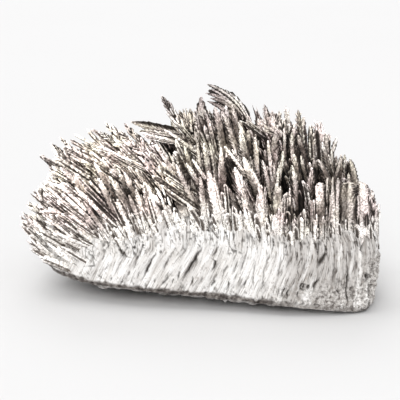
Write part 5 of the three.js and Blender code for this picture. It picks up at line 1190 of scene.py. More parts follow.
    # the right-hand end of the wall turns greyer: partly grey bands of the rock, partly painted shade where the wall
    # turns away from the light
    grey_and_shade = smooth(25, 33, x + (fbm(across / 3.0, z / 14.0, y / 30, 2, 117) - 0.5) * 10) * smooth(26, 4, y + (lump - 0.5) * 20)
    band_ = fbm(across / 1.7, z / 22.0, y / 40.0, 2, 131)
    grey_and_shade = grey_and_shade * (0.35 + 1.1 * smooth(0.36, 0.64, band_)) * (1 - 0.28 * smooth(0.6, 0.9, wf))
    grey_and_shade = np.maximum(grey_and_shade, 0.35 * smooth(0.52, 0.75, band_) * (1 - smooth(0.5, 0.8, wf)))
    lean_top = finger_lean(x) * facing
    split = P[np.argmax(wf[:, 0] > 0.62), :, 2][None, :]
    above = np.maximum(z - split, 0.0)
    along = arc * sign - lean * z - (lean_top - lean) * above ** 2 / (above + 4.0)
    # painted shade: cracks, pits, valleys of the fibres, seams between the fused fingers and holes of the underside are
    # darkened towards black
    crackmask = np.maximum(crackmask, under * hole * 0.75)
    dark = np.clip(np.maximum(crackmask, pit * 0.8) + cutm * patchy * 0.25 + smooth(0.4, 1.0, seam) * smooth(0.15, 0.8, up) * 0.85, 0, 1)
    attrs = {
        "cav": np.append(dark.ravel(), [0, 0]),
        "along": np.append(along.ravel(), [0.0, 0.0]),
        "up": np.append(z.ravel(), [0.0, CROWN]),
        "grey_and_shade": np.append(np.clip(grey_and_shade * is_wall[:, None], 0, 1).ravel(), [0, 0]),
        "wallf": np.append(wf.ravel(), [0, 1]),
        "gran": np.append(gran.ravel(), [0, 0]),
        "rim": np.append(rimm.ravel(), [1, 0]),
        "fib": np.append(fib.ravel(), [0.5, 0.5]),
        "topm": np.append(np.broadcast_to(np.array([smooth(0.97, 0.84, f) if k == "top" else 0.0 for k, f in kinds])[:, None],
                                          (R, n)).ravel(), [0, 1]),
        # painted shade from crowding neighbours on the upper wall and crown
        "well": shelter(verts, F, True) * np.append(smooth(0.40, 0.62, wf).ravel(), [0, 1]),
    }
    return make_mesh("fused_mass", verts, F, attrs, material, smooth_shade=True)


# ---------------------------------------------------------------- crystals
GOLDEN = 2.399963


def frame_of(axis, roll):
    axis = axis / np.linalg.norm(axis)
    e1 = np.cross(axis, np.array([0.0, -1.0, 0.25]))
    if np.linalg.norm(e1) < 1e-3:
        e1 = np.cross(axis, [1.0, 0, 0])
    e1 /= np.linalg.norm(e1)
    e2 = np.cross(e1, axis)
    c, s = math.cos(roll), math.sin(roll)
    return axis, c * e1 + s * e2, -s * e1 + c * e2


class Bag:
    """collects the closed shells of one piece"""
    def __init__(self):
        self.v, self.f, self.n, self.tris = [], [], 0, 0
        self.a = {"cav": [], "rnd": [], "tipf": []}

    def add(self, V, F, cav, rnd, tipf):
        self.v.append(V)
        self.f.append(F + self.n)
        self.n += len(V)
        self.tris += len(F)
        for k, val in (("cav", cav), ("rnd", rnd), ("tipf", tipf)):
            self.a[k].append(np.full(len(V), float(val)) if np.ndim(val) == 0 else np.asarray(val, float))


_FACES = {}


def tube_faces(rings, m):
    """a tube of rings with one point at the tip and a flat foot"""
    if (rings, m) in _FACES:
        return _FACES[(rings, m)]
    k = np.arange(rings - 1)[:, None] * m
    q = np.arange(m)[None, :]
    a, b = k + q, k + (q + 1) % m
    c, d = a + m, b + m
    F = [np.stack([a, b, d], -1).reshape(-1, 3), np.stack([a, d, c], -1).reshape(-1, 3)]
    q = np.arange(m)
    base = (rings - 1) * m
    F.append(np.stack([base + q, base + (q + 1) % m, np.full(m, rings * m)], -1))
    q = np.arange(1, m - 1)
    F.append(np.stack([np.zeros(m - 2, int), q + 1, q], -1))
    _FACES[(rings, m)] = np.concatenate(F)
    return _FACES[(rings, m)]


def spikes(bag, P, D, U, L, hw, ht, r, rnd, cav=(0.9, 0.4, 0.12, 0.0), m=4, fr=(0.0, 0.58, 0.9), sc=(0.8, 1.0, 0.45),
           tip0=0.0, tip1=1.0):
    """many small pointed prisms at once. P roots, D directions, U width directions, hw and ht half sizes"""
    n = len(P)
    if n == 0:
        return
    D = D / np.linalg.norm(D, axis=1)[:, None]
    U = U - D * np.einsum("ij,ij->i", U, D)[:, None]
    U = U / np.maximum(np.linalg.norm(U, axis=1), 1e-9)[:, None]
    W = np.cross(D, U)
    L, hw, ht = (np.broadcast_to(np.asarray(v, float), (n,)) for v in (L, hw, ht))
    k = len(fr)
    V = np.zeros((n, k * m + 1, 3))
    C = np.zeros((n, k * m + 1))
    T = np.zeros((n, k * m + 1))
    ang = np.arange(m) * 2 * math.pi / m
    for i, (f, s) in enumerate(zip(fr, sc)):
        for q in range(m):
            j = s * (1 + r.normal(0, 0.10, n)) if i else np.full(n, s)
            fz = f + (r.normal(0, 0.035, n) if 0 < i else 0)
            V[:, i * m + q] = (P + D * (L * fz)[:, None] + U * (hw * j * math.cos(ang[q]))[:, None]
                               + W * (ht * j * math.sin(ang[q]))[:, None])
            # painted shade: dark at the root of each prism and along its two edges, fading towards the tip
            C[:, i * m + q] = min(1.0, cav[i] + (0.50 if q in (0, m // 2) else 0.0))
            T[:, i * m + q] = tip0 + (tip1 - tip0) * f
    V[:, -1] = P + D * L[:, None] + U * (hw * r.normal(0, 0.12, n))[:, None]
    C[:, -1] = cav[len(fr)]
    T[:, -1] = tip1
    F = tube_faces(k, m)
    off = (np.arange(n) * (k * m + 1))[:, None, None]
    F = (F[None] + off).reshape(-1, 3)
    bag.add(V.reshape(-1, 3), F, C.ravel(), np.repeat(np.broadcast_to(rnd, (n,)), k * m + 1), T.ravel())


def lances(bag, P, D, U, L, hw, ht, r, rnd, level=2, blunt=0.5):
    """small lance-shaped crystals, all at once"""
    if level == 2:
        spikes(bag, P, D, U, L, hw, ht, r, rnd, m=6, fr=(0.0, 0.22, 0.5, 0.76, 0.92), sc=(0.6, 0.85, 1.0, 0.88, blunt),
               cav=(0.75, 0.42, 0.12, 0.0, 0.0, 0.0))
    else:
        spikes(bag, P, D, U, L, hw, ht, r, rnd, m=5 if level else 4, fr=(0.0, 0.45, 0.85), sc=(0.7, 1.0, blunt + 0.12),
               cav=(0.7, 0.2, 0.0, 0.0))


def blade(bag, path, e1, e2, L, hw, ht, r, rnd, style, tip, level=2, pitch=1.4, depth=0.2, beta=26.0,
          crease=0.0, tilt=0.0, z0=0.28, foot=0.8, added_shade=0.0):
    """one closed body along a path. Its rows of points follow the growth steps: a low row where a step
    begins, a high row where it ends, so every step keeps a sharp edge"""
    zf = L * z0
    n = max(2, int(round((L * 0.97 - zf) / pitch)))
    e = zf + (np.arange(n) + np.append(0, r.uniform(-0.18, 0.18, n - 1))) * (L * 0.97 - zf) / n
    z = np.stack([e, e + pitch * r.uniform(0.66, 0.84, n)], 1).ravel()
    crest = np.tile([0.0, 1.0], n)
    keep = z < L * 0.985
    z, crest = z[keep], crest[keep]
    low = np.linspace(0, zf, 2 + (L > 14), endpoint=False)
    z, crest = np.concatenate([low, z]), np.concatenate([np.full(len(low), 0.5), crest])
    o = np.argsort(z)
    z, crest = z[o], crest[o]
    k = len(z)
    if style == "herring":
        th = {2: [0, 34, 62, 90, 118, 146, 180, 225, 270, 315], 1: [0, 40, 90, 140, 180, 225, 270, 315],
              0: [0, 90, 180, 225, 270, 315]}[level]
        ex = 1.35
    elif style == "ribs":
        th = {2: [12, 48, 90, 132, 168, 192, 230, 270, 310, 348], 1: [20, 60, 90, 120, 160, 205, 270, 335],
              0: [25, 90, 155, 205, 270, 335]}[level]
        ex = 4.0
    elif style == "leafy":
        th = {2: [0, 30, 58, 84, 102, 126, 152, 180, 222, 270, 318], 1: [0, 45, 84, 106, 140, 180, 225, 270, 315],
              0: [0, 60, 95, 140, 180, 270]}[level]
        ex = 1.55
    elif style == "finger":
        th = {2: [8, 44, 76, 106, 138, 172, 216, 252, 288, 324], 1: [0, 45, 78, 108, 135, 180, 225, 315],
              0: [0, 60, 120, 180, 240, 300]}[level]
        ex = 2.3
    else:
        th = {2: [0, 36, 72, 108, 144, 180, 216, 252, 288, 324], 1: [0, 45, 90, 135, 180, 225, 270, 315],
              0: [0, 60, 120, 180, 240, 300]}[level]
        ex = 2.0
    th = np.radians(np.array(th, float) + r.uniform(-7, 7, len(th)))
    m = len(th)
    c, sn = np.cos(th), np.sin(th)
    rr = (np.abs(c) ** ex + np.abs(sn) ** ex) ** (-1 / ex) * (1 + r.normal(0, 0.06, m))
    mid = np.exp(-((sn - 1) / 0.10) ** 2)
    rr = rr * (1 - crease * mid)
    a, b = hw * rr * c, ht * rr * sn
    side = np.abs(c)
    Z = np.repeat(z[:, None], m, 1)
    fade = smooth(0.10, 0.40, z / L)[:, None]
    if style == "ribs":
        crest = np.clip(crest + r.normal(0, 0.30, k), 0, 1)
    if style in ("herring", "leafy"):
        rise = np.abs(a)[None] / math.tan(math.radians(beta)) + 0.5 * pitch * (c[None] > 0.2)
    elif style == "ribs":
        rise = a[None] * math.tan(math.radians(beta)) + r.normal(0, 0.30 * pitch, (k, m))
    else:
        rise = r.normal(0, 0.33 * pitch, (k, m))
    Z = np.clip(Z + np.minimum(rise * fade, 0.72 * (L - Z)), 0, L * 0.99)
    S = Z / L
    if tip == "point":
        wv = np.interp(S, [0, 0.3, 0.62, 0.8, 0.92, 1.0], [foot, 0.95, 1.0, 0.82, 0.50, 0.12])
        hv = wv
    elif tip == "leaf":
        end = np.clip((L - Z) / (2.5 * hw + 0.8), 0, 1)
        wv = np.interp(S, [0, 0.4, 1.0], [foot, 1.0, 0.97]) * (1 - (1 - end) ** 1.7 * 0.90)
        hv = np.interp(S, [0, 0.4, 1.0], [foot, 1.0, 0.97]) * (1 - 0.80 * (1 - end) ** 1.9)
    else:
        end = np.clip((L - Z) / (0.55 * hw + 0.3), 0, 1)
        wv = np.interp(S, [0, 0.4, 1.0], [foot, 1.0, 0.97]) * (0.42 + 0.58 * np.sqrt(end))
        hv = np.interp(S, [0, 0.4, 1.0], [foot, 1.0, 0.97]) * (0.42 + 0.58 * np.sqrt(end))
    wob = 1 + 0.05 * np.sin(Z / r.uniform(2.5, 4.5) + r.uniform(0, 6.28))
    step = (crest[:, None] - 0.5) * 2
    if style == "herring":
        rel = depth * step * (0.55 + 1.0 * side[None]) * r.uniform(0.6, 1.4, (k, m))
    elif style == "leafy":
        rel = depth * (step * side[None] ** 3 * r.uniform(0.4, 1.5, (k, m)) + step * 0.18 + r.normal(0, 0.22, (k, m))
                       + r.normal(0, 0.25, m)[None])
    elif style == "ribs":
        rel = depth * step * 0.8 * r.uniform(0.3, 1.6, (k, m))
    elif style == "finger":
        rel = depth * (r.normal(0, 0.9, m)[None] + r.normal(0, 0.40, (k, m)) + step * 0.15)
    else:
        rel = depth * (step * 0.35 + r.normal(0, 0.45, (k, m)) + r.normal(0, 0.75, m)[None])
    rel = rel * fade + r.normal(0, 0.03, (k, m))
    A = a[None] * wv * wob * (1 + rel)
    B = b[None] * hv * wob * (1 + rel)
    axis = path(np.array([1.0]))[0] - path(np.array([0.0]))[0]
    axis /= np.linalg.norm(axis)
    lift = tilt * A * smooth(0.55, 1.0, S)
    V = (path(S.ravel()).reshape(k, m, 3) + A[..., None] * e1 + B[..., None] * e2 + lift[..., None] * axis)
    V = np.vstack([V.reshape(-1, 3), path(np.array([1.0]))])
    # cav is painted shade: dark in the grooves between growth steps, in recesses, along the crease and on the body's
    # sides, lighter on the crests; the last term added darkens the whole body, also painted shade
    cav = (0.5 - 0.5 * step) * {"herring": 0.95, "ribs": 0.45, "rough": 0.6, "finger": 0.15, "leafy": 0.35}[style] * fade + 0.3 * (1 - fade)
    if style == "leafy":
        cav = cav * (0.25 + 1.1 * side ** 2)[None] + np.clip(r.normal(-0.1, 0.22, (k, m)), 0, 0.6) + np.clip(r.normal(-0.15, 0.25, m), 0, 0.45)[None]
    if style in ("ribs", "finger"):
        cav = cav * 0.7 + np.clip(r.normal(-0.25, 0.45, m), 0, 0.7)[None] + np.clip(r.normal(-0.3, 0.35, (k, m)), 0, 1)
    cav = cav + np.clip(-rel, 0, 1) * (0.8 if style == "rough" else 0.0)
    cav = cav + crease * 2.2 * mid[None] * (1 - 0.6 * smooth(0.8, 1.0, S)) + added_shade
    edge = {"ribs": 0.66, "leafy": 0.66, "finger": 0.95}.get(style, 0.48)
    start = {"ribs": 0.80, "finger": 0.74}.get(style, 0.66)
    cav = cav + (edge * smooth(start, 0.98, side) - 0.14)[None] * (1 - smooth(0.86, 1.0, S))
    bag.add(V, tube_faces(k, m), np.append(np.clip(cav, 0, 1).ravel(), 0.0), rnd, np.append(S.ravel(), 1.0))


def envelope(kind, s):
    if kind in "fy":
        return np.interp(s, [0, 0.25, 0.60, 0.8, 0.92, 1.0], [0.7, 0.9, 1.0, 0.85, 0.55, 0.2])
    return np.interp(s, [0, 0.5, 0.85, 1.0], [0.9, 1.0, 0.95, 0.5])


def crystal(bag, b, t, w, kind, seed, level=2):
    """level 2 in the front row, 1 behind it, 0 at the back"""
    r = np.random.default_rng(seed)
    b, t = np.array(b, float), np.array(t, float)
    axis = t - b
    L = float(np.linalg.norm(axis))
    if L < 0.8:
        return
    roll = r.normal(0, 0.35) if kind in "fhpqysblc" else r.uniform(0, 3.14)
    axis, e1, e2 = frame_of(axis, roll)
    rnd = float(r.random())
    bd = e1 * r.uniform(-1, 1) + e2 * r.uniform(-1, 1)
    bd /= max(np.linalg.norm(bd), 1e-6)
    amp = L * abs(r.normal(0, 0.014))
    if kind in "pq":
        up = np.array([0.75, 0.0, 0.66])
        bd = up - axis * (up @ axis)
        bd /= np.linalg.norm(bd)
        amp = L * (0.10 if kind == "p" else 0.16)
    lv = level

    def path(s):
        s = np.asarray(s, float)
        return b + axis * (L * s)[:, None] + bd * (amp * 4 * s * (1 - s))[:, None]

    def shifted(d, k=1.0, o=0.0, s0=0.0):
        """the same path, moved aside by d and cut to k of its length"""
        def f(s):
            s = s0 + (1 - s0) * np.asarray(s, float)
            return path(s * k) + d[None, :] * (0.45 + 0.55 * smooth(0, 0.4, s))[:, None] + o
        return f

    def comb(za, zb, pitch, turn, reach, angle, bw, lo=0.15, cap=9.0, blunt=0.45, flat=0.8):
        """lances standing off the stem on one side, each rising at an angle. turn: 0 and pi are the two
        edges, pi/2 the face"""
        n = int(round((zb - za) / pitch))
        if n < 1:
            return
        z = za + (np.arange(n) + r.uniform(-0.2, 0.2, n) + 0.5) * (zb - za) / n
        s = np.clip(z / L, 0, 1)
        ang = np.radians(angle * r.uniform(0.8, 1.2, n))
        a = turn + r.normal(0, 0.16, n)
        sd = e1[None, :] * np.cos(a)[:, None] + e2[None, :] * np.sin(a)[:, None]
        D = axis[None, :] * np.cos(ang)[:, None] + sd * np.sin(ang)[:, None]
        out = reach * r.uniform(0.8, 1.12, n) * np.interp(s, [0, 0.5, 0.8, 1], [0.85, 1.0, 0.85, 0.5])
        l = np.clip(out * (1 - lo) / np.sin(ang), 1.5, cap)
        l = np.minimum(l, (L - z) / np.cos(ang) * r.uniform(0.9, 1.05, n) + 0.5)
        P = path(s) + sd * (out * lo)[:, None] - D * 0.4
        U = np.cross(D, e2[None, :] + e1[None, :] * r.normal(0, 0.25, n)[:, None])
        th = bw * r.uniform(0.8, 1.25, n)
        if lv == 2:
            spikes(bag, P, D, U, l + 0.4, th, th * flat, r, rnd + r.normal(0, 0.05, n), m=6, fr=(0.0, 0.30, 0.62, 0.90),
                   sc=(0.75, 0.92, 1.0, blunt + 0.2), cav=(0.9, 0.22, 0.0, 0.0, 0.0))
        else:
            spikes(bag, P, D, U, l + 0.4, th, th * flat, r, rnd + r.normal(0, 0.05, n), m=5, fr=(0.0, 0.45, 0.88),
                   sc=(0.7, 1.0, 0.7), cav=(0.9, 0.15, 0.0, 0.0))

    def plume(za, zb, u, angle=14.0, pitch=3.0, layers=2, lo=0.3):
        """the lances of a feather: both edges and, in layers, over its face"""
        bw = min(max(0.5 * pitch * math.sin(math.radians(angle)) * 1.2, 0.40), 0.62)
        for k, turn in enumerate((0.0, math.pi)):
            comb(za + 0.5 * pitch * k, zb, pitch, turn, u, angle, bw, lo)
        if layers > 1:
            for k, turn in enumerate((0.95, math.pi - 0.95)):
                comb(za + 0.5 * pitch * (k + 0.5), zb, pitch, turn, u * 0.75, angle * 0.85, bw * 0.95, lo + 0.2)
        if layers > 2:
            for k, turn in enumerate((-0.9, math.pi + 0.9)):
                comb(za + 0.5 * pitch * k, zb, pitch * 1.3, turn, u * 0.75, angle, bw, lo + 0.2)

    def beside(n, lo_k, hi_k, out, bw, style="herring", tipk="leaf", spread=0.35, crease=0.0):
        """n shorter bodies grown against the stem"""
        a0 = r.uniform(0, 6.28)
        for i in range(n):
            a = a0 + i * 6.28 / n + r.normal(0, spread)
            d = (e1 * math.cos(a) + e2 * math.sin(a) * 0.8) * out * r.uniform(0.8, 1.2)
            k = r.uniform(lo_k, hi_k)
            blade(bag, shifted(d, k), e1, e2, L * k, bw * r.uniform(0.85, 1.2), bw * r.uniform(0.65, 0.95), r,
                  rnd + r.normal(0, 0.07), style, tipk, max(lv - 1, 0), pitch=r.uniform(1.1, 1.6), depth=0.22,
                  beta=r.uniform(20, 32), crease=crease, tilt=r.uniform(-0.7, 0.7))

    u = w / 2
    far = lv == 0
    if kind in "yf":
        slim = 0.50 if kind == "y" else 0.80
        blade(bag, path, e1, e2, L, u * slim, u * slim * 0.62, r, rnd, "herring", "leaf", lv,
              pitch=r.uniform(1.3, 1.8), depth=0.26, beta=r.uniform(20, 28), crease=r.choice([0, 0, 0.3]))
        if far:
            comb(L * 0.3, L * 0.85, 4.0, 0.0, u, 13, 0.5)
            comb(L * 0.3, L * 0.85, 4.0, math.pi, u, 13, 0.5)
        else:
            plume(L * (0.15 if kind == "y" else 0.12), L * 0.84, u * 1.15, r.uniform(9, 14),
                  r.uniform(2.8, 3.6) if kind == "y" else r.uniform(4.0, 5.6), 2, 0.3)
    elif kind == "v":
        # a lens-shaped leaf lying on the others
        # darkened a little all over as painted shade
        blade(bag, path, e1, e2, L, u * 1.45, u * 0.60, r, 0.63, "leafy", "leaf", lv, pitch=1.5, depth=0.16, beta=30,
              z0=0.1, foot=0.6, added_shade=0.10)
        beside(3, 0.6, 0.90, u * 0.75, u * 0.30, "leafy", "leaf", 0.4)
    elif kind == "l":
        # a leaf-shaped blade with notched edges, shorter ones grown against it
        blade(bag, path, e1, e2, L, u * 0.80, u * 0.50, r, rnd, "leafy", "leaf", lv, pitch=r.uniform(1.1, 1.7), depth=0.15,
              beta=r.uniform(22, 34), z0=0.15, foot=0.75, tilt=r.uniform(-0.4, 0.4))
        side0 = r.choice([-1, 1])
        for i in range(1 if far else (3 if w > 3.2 else 2)):
            k = r.uniform(0.45, 0.90)
            q = side0 * (1, -1, 1)[i]
            d = e1 * (q * u * r.uniform(0.45, 0.72)) + e2 * (u * r.normal(0, 0.25))
            blade(bag, shifted(d, k), e1, e2, L * k, u * r.uniform(0.28, 0.42), u * r.uniform(0.28, 0.42), r,
                  rnd + r.normal(0, 0.10), "leafy", "leaf", max(lv - 1, 0), pitch=r.uniform(1.1, 1.6), depth=0.16,
                  beta=r.uniform(20, 32), z0=0.2, tilt=q * r.uniform(-0.8, 0.2))
    elif kind == "h":
        # a palm of long fingers from one foot
        n = 3 if far else (5 if w < 4.4 else 6)
        for i in range(n):
            x = (i - (n - 1) / 2) / max((n - 1) / 2, 1)
            ang = x * math.atan2(u * 0.86, L * 0.55) * r.uniform(0.85, 1.1)
            k = (1.0 - 0.26 * abs(x)) * r.uniform(0.88, 1.0) if i != n // 2 else 1.0
            D = axis * math.cos(ang) + e1 * math.sin(ang) + e2 * r.normal(-0.02, 0.06)
            D /= np.linalg.norm(D)
            o = b + e1 * (x * u * 0.30) + e2 * r.normal(0, 0.10 * w)

            def line(t_, D=D, o=o, k=k):
                return o + D * (L * k * np.asarray(t_, float))[:, None]
            f1 = np.cross(D, e2)
            blade(bag, line, f1 / np.linalg.norm(f1), e2, L * k, w * r.uniform(0.12, 0.16) * (1.25 if far else 1),
                  w * r.uniform(0.09, 0.13), r, rnd + r.normal(0, 0.06), "herring", "leaf", lv,
                  pitch=r.uniform(1.1, 1.5), depth=0.22, beta=r.uniform(22, 32), crease=r.choice([0, 0.3]))
        if not far:
            plume(L * 0.10, L * 0.50, u * 1.0, r.uniform(9, 13), 5.2, 1, 0.35)
    elif kind == "b":
        # a knot of short blunt prisms
        blade(bag, path, e1, e2, L * 0.95, u * 0.72, u * 0.60, r, rnd, "finger", "leaf", lv, pitch=1.5, depth=0.15,
              tilt=r.uniform(-0.6, 0.6), crease=0.2)
        n = 2 if far else (5 if w > 3.4 else 4)
        for i in range(n):
            a = i * 6.28 / n + r.normal(0, 0.3)
            d = (e1 * math.cos(a) + e2 * math.sin(a)) * u * r.uniform(0.5, 0.75)
            k = r.uniform(0.70, 1.0)
            blade(bag, shifted(d, k), e1 * math.cos(a) + e2 * math.sin(a), e2 * math.cos(a) - e1 * math.sin(a), L * k,
                  u * r.uniform(0.26, 0.42), u * r.uniform(0.26, 0.40), r, rnd + r.normal(0, 0.10),
                  "ribs" if i % 2 else "finger", "blunt" if r.random() < 0.3 else "leaf", max(lv - 1, 0), pitch=1.5,
                  depth=0.14, beta=r.uniform(20, 30), tilt=r.uniform(-0.9, 0.9))
        if lv == 2:
            comb(L * 0.45, L * 0.95, 2.0, 0.0, u * 1.05, 26, 0.40, 0.3)
            comb(L * 0.45, L * 0.95, 2.0, math.pi, u * 1.05, 26, 0.40, 0.3)
    elif kind == "s":
        # a bundle of parallel flat prisms
        rnd = 0.32 + 0.68 * rnd
        k = 1 if far else (2 if w < 3.6 else 3)
        order = r.permutation(k)
        for i in range(k):
            f = 1.0 - 0.09 * order[i] - (r.uniform(0, 0.07) if order[i] else 0)
            d = e1 * ((i - (k - 1) / 2) * w / k) + e2 * r.normal(0, 0.12 * w)
            blade(bag, shifted(d, f), e1, e2, L * f, w / k / 2 * 1.02, u * r.uniform(0.42, 0.60), r,
                  rnd + r.normal(0, 0.07), "ribs", "leaf" if r.random() < 0.35 else "blunt", lv,
                  pitch=r.uniform(1.0, 1.6), depth=0.12, beta=r.uniform(-40, 40), crease=r.choice([0, 0.25, 0.35]),
                  tilt=r.uniform(-1.2, 1.2))
        if not far:
            beside(2, 0.5, 0.85, u * 0.7, u * 0.26, "ribs", "blunt")
    elif kind == "c":
        # a broad column: fused prisms of unequal height on a common trunk
        blade(bag, path, e1, e2, L * 0.94, u * 0.98, u * 0.50, r, rnd, "leafy", "blunt", lv, pitch=r.uniform(1.5, 2.2),
              depth=0.10, beta=r.uniform(-16, 16), z0=0.1, foot=0.85, tilt=r.uniform(-0.5, 0.5))
        n = 3 if far else 5
        for i in range(n):
            x = (i - (n - 1) / 2) / ((n - 1) / 2)
            k = r.uniform(0.62, 1.0) if i != n // 2 else 1.0
            d = e1 * (u * 0.72 * (x + r.normal(0, 0.10))) + e2 * (u * r.uniform(0.12, 0.42) * r.choice([-1, 1]))
            blade(bag, shifted(d, k), e1, e2, L * k, u * r.uniform(0.15, 0.34), u * r.uniform(0.18, 0.30), r,
                  rnd + r.normal(0, 0.10), "ribs" if r.random() < 0.4 else "leafy", "leaf" if r.random() < 0.6 else "blunt",
                  max(lv - 1, 0), pitch=r.uniform(1.2, 2.0), depth=0.14, beta=r.uniform(10, 30), z0=0.1,
                  tilt=r.uniform(-0.8, 0.8))
    elif kind == "k":
        for i in range(3):
            f = 1.0 if i == 1 else r.uniform(0.70, 0.95)
            d = e1 * ((i - 1) * w * 0.29) + e2 * (r.normal(0, 0.06 * w))
            blade(bag, shifted(d, f), e1, e2, L * f, u * r.uniform(0.40, 0.52), u * r.uniform(0.50, 0.70), r,
                  rnd + r.normal(0, 0.06), "finger", "leaf" if i == 1 else "blunt", lv, pitch=1.5, depth=0.09,
                  z0=0.12, foot=0.7, crease=r.choice([0, 0.15]))
    elif kind == "n":
        blade(bag, path, e1, e2, L, u, u * 0.8, r, rnd, "ribs", "point", 0, pitch=1.4, depth=0.1)
    elif kind == "p":
        # a curved comb of parallel plates
        # darkened a little all over as painted shade
        blade(bag, path, e1, e2, L, u * 0.98, u * 0.70, r, rnd, "leafy", "leaf", 2, pitch=1.2, depth=0.16, beta=24,
              crease=0.0, tilt=-0.5, z0=0.1, added_shade=0.12)
        beside(3, 0.6, 0.95, u * 0.65, u * 0.32, "ribs", "leaf", 0.4)
    elif kind == "q":
        # what the plates of the comb grow from
        # darkened heavily all over as painted shade
        blade(bag, path, e1, e2, L, u * 0.98, u * 0.22, r, rnd, "leafy", "leaf", 2, pitch=1.4, depth=0.14, beta=24, z0=0.1,
              added_shade=0.60)
        beside(5, 0.55, 0.95, u * 0.50, u * 0.26, "leafy", "leaf", 0.5)


# ---------------------------------------------------------------- materials
def nodes_of(mat):
    mat.use_nodes = True
    nt = mat.node_tree
    for nd in list(nt.nodes):
        nt.nodes.remove(nd)
    out = nt.nodes.new("ShaderNodeOutputMaterial")
    bsdf = nt.nodes.new("ShaderNodeBsdfPrincipled")
    nt.links.new(bsdf.outputs["BSDF"], out.inputs["Surface"])
    return nt, bsdf


def attr(nt, name):
    nd = nt.nodes.new("ShaderNodeAttribute")
    nd.attribute_type = "GEOMETRY"
    nd.attribute_name = name
    return nd.outputs["Fac"]


def math_(nt, op, a, b=None, clamp=False):
    nd = nt.nodes.new("ShaderNodeMath")
    nd.operation = op
    nd.use_clamp = clamp
    for k, v in enumerate((a, b)):
        if v is None:
            continue
        if isinstance(v, (int, float)):
            nd.inputs[k].default_value = v
        else:
            nt.links.new(v, nd.inputs[k])
    return nd.outputs[0]


def ramp(nt, fac, stops):
    nd = nt.nodes.new("ShaderNodeValToRGB")
    el = nd.color_ramp.elements
    while len(el) > 1:
        el.remove(el[-1])
    el[0].position = stops[0][0]
    el[0].color = (*stops[0][1], 1)
    for pos, col in stops[1:]:
        e = el.new(pos)
        e.color = (*col, 1)
    nt.links.new(fac, nd.inputs["Fac"])
    return nd.outputs["Color"]


def mix(nt, fac, a, b, mode="MIX"):
    nd = nt.nodes.new("ShaderNodeMix")
    nd.data_type = "RGBA"
    nd.blend_type = mode
    nd.clamp_factor = True
    if isinstance(fac, (int, float)):
        nd.inputs["Factor"].default_value = fac
    else:
        nt.links.new(fac, nd.inputs["Factor"])
    for key, v in ((6, a), (7, b)):
        if isinstance(v, tuple):
            nd.inputs[key].default_value = (*v, 1)
        else:
            nt.links.new(v, nd.inputs[key])
    return nd.outputs[2]


def smoothstep(nt, v, a, b):
    nd = nt.nodes.new("ShaderNodeMapRange")
    nd.interpolation_type = "SMOOTHSTEP"
    nd.inputs["From Min"].default_value = a
    nd.inputs["From Max"].default_value = b
    nt.links.new(v, nd.inputs["Value"])
    return nd.outputs["Result"]


def fibre_noise(nt, along, up, fa, fu, detail):
    """noise drawn out along the fibres; along and up are in mm"""
    co = nt.nodes.new("ShaderNodeCombineXYZ")
    nt.links.new(math_(nt, "MULTIPLY", along, fa), co.inputs["X"])
    nt.links.new(math_(nt, "MULTIPLY", up, fu), co.inputs["Y"])
    nd = nt.nodes.new("ShaderNodeTexNoise")
    nd.inputs["Scale"].default_value = 1.0
    nd.inputs["Detail"].default_value = detail
    nd.inputs["Roughness"].default_value = 0.6
    nt.links.new(co.outputs[0], nd.inputs["Vector"])
    return nd.outputs["Fac"]


def noise_tex(nt, scale, detail=3.0, rough=0.55, stretch=None, w=0.0):
    co = nt.nodes.new("ShaderNodeTexCoord")
    mp = nt.nodes.new("ShaderNodeMapping")
    mp.inputs["Location"].default_value = (w, w * 0.7, w * 1.3)
    if stretch:
        mp.inputs["Scale"].default_value = stretch
    nt.links.new(co.outputs["Object"], mp.inputs["Vector"])
    nd = nt.nodes.new("ShaderNodeTexNoise")
    nd.inputs["Scale"].default_value = scale
    nd.inputs["Detail"].default_value = detail
    nd.inputs["Roughness"].default_value = rough
    nt.links.new(mp.outputs["Vector"], nd.inputs["Vector"])
    return nd.outputs["Fac"]


def bump(nt, bsdf, height, dist, strength=1.0):
    nd = nt.nodes.new("ShaderNodeBump")
    nd.inputs["Strength"].default_value = strength
    nd.inputs["Distance"].default_value = dist
    nt.links.new(height, nd.inputs["Height"])
    nt.links.new(nd.outputs["Normal"], bsdf.inputs["Normal"])
    return nd


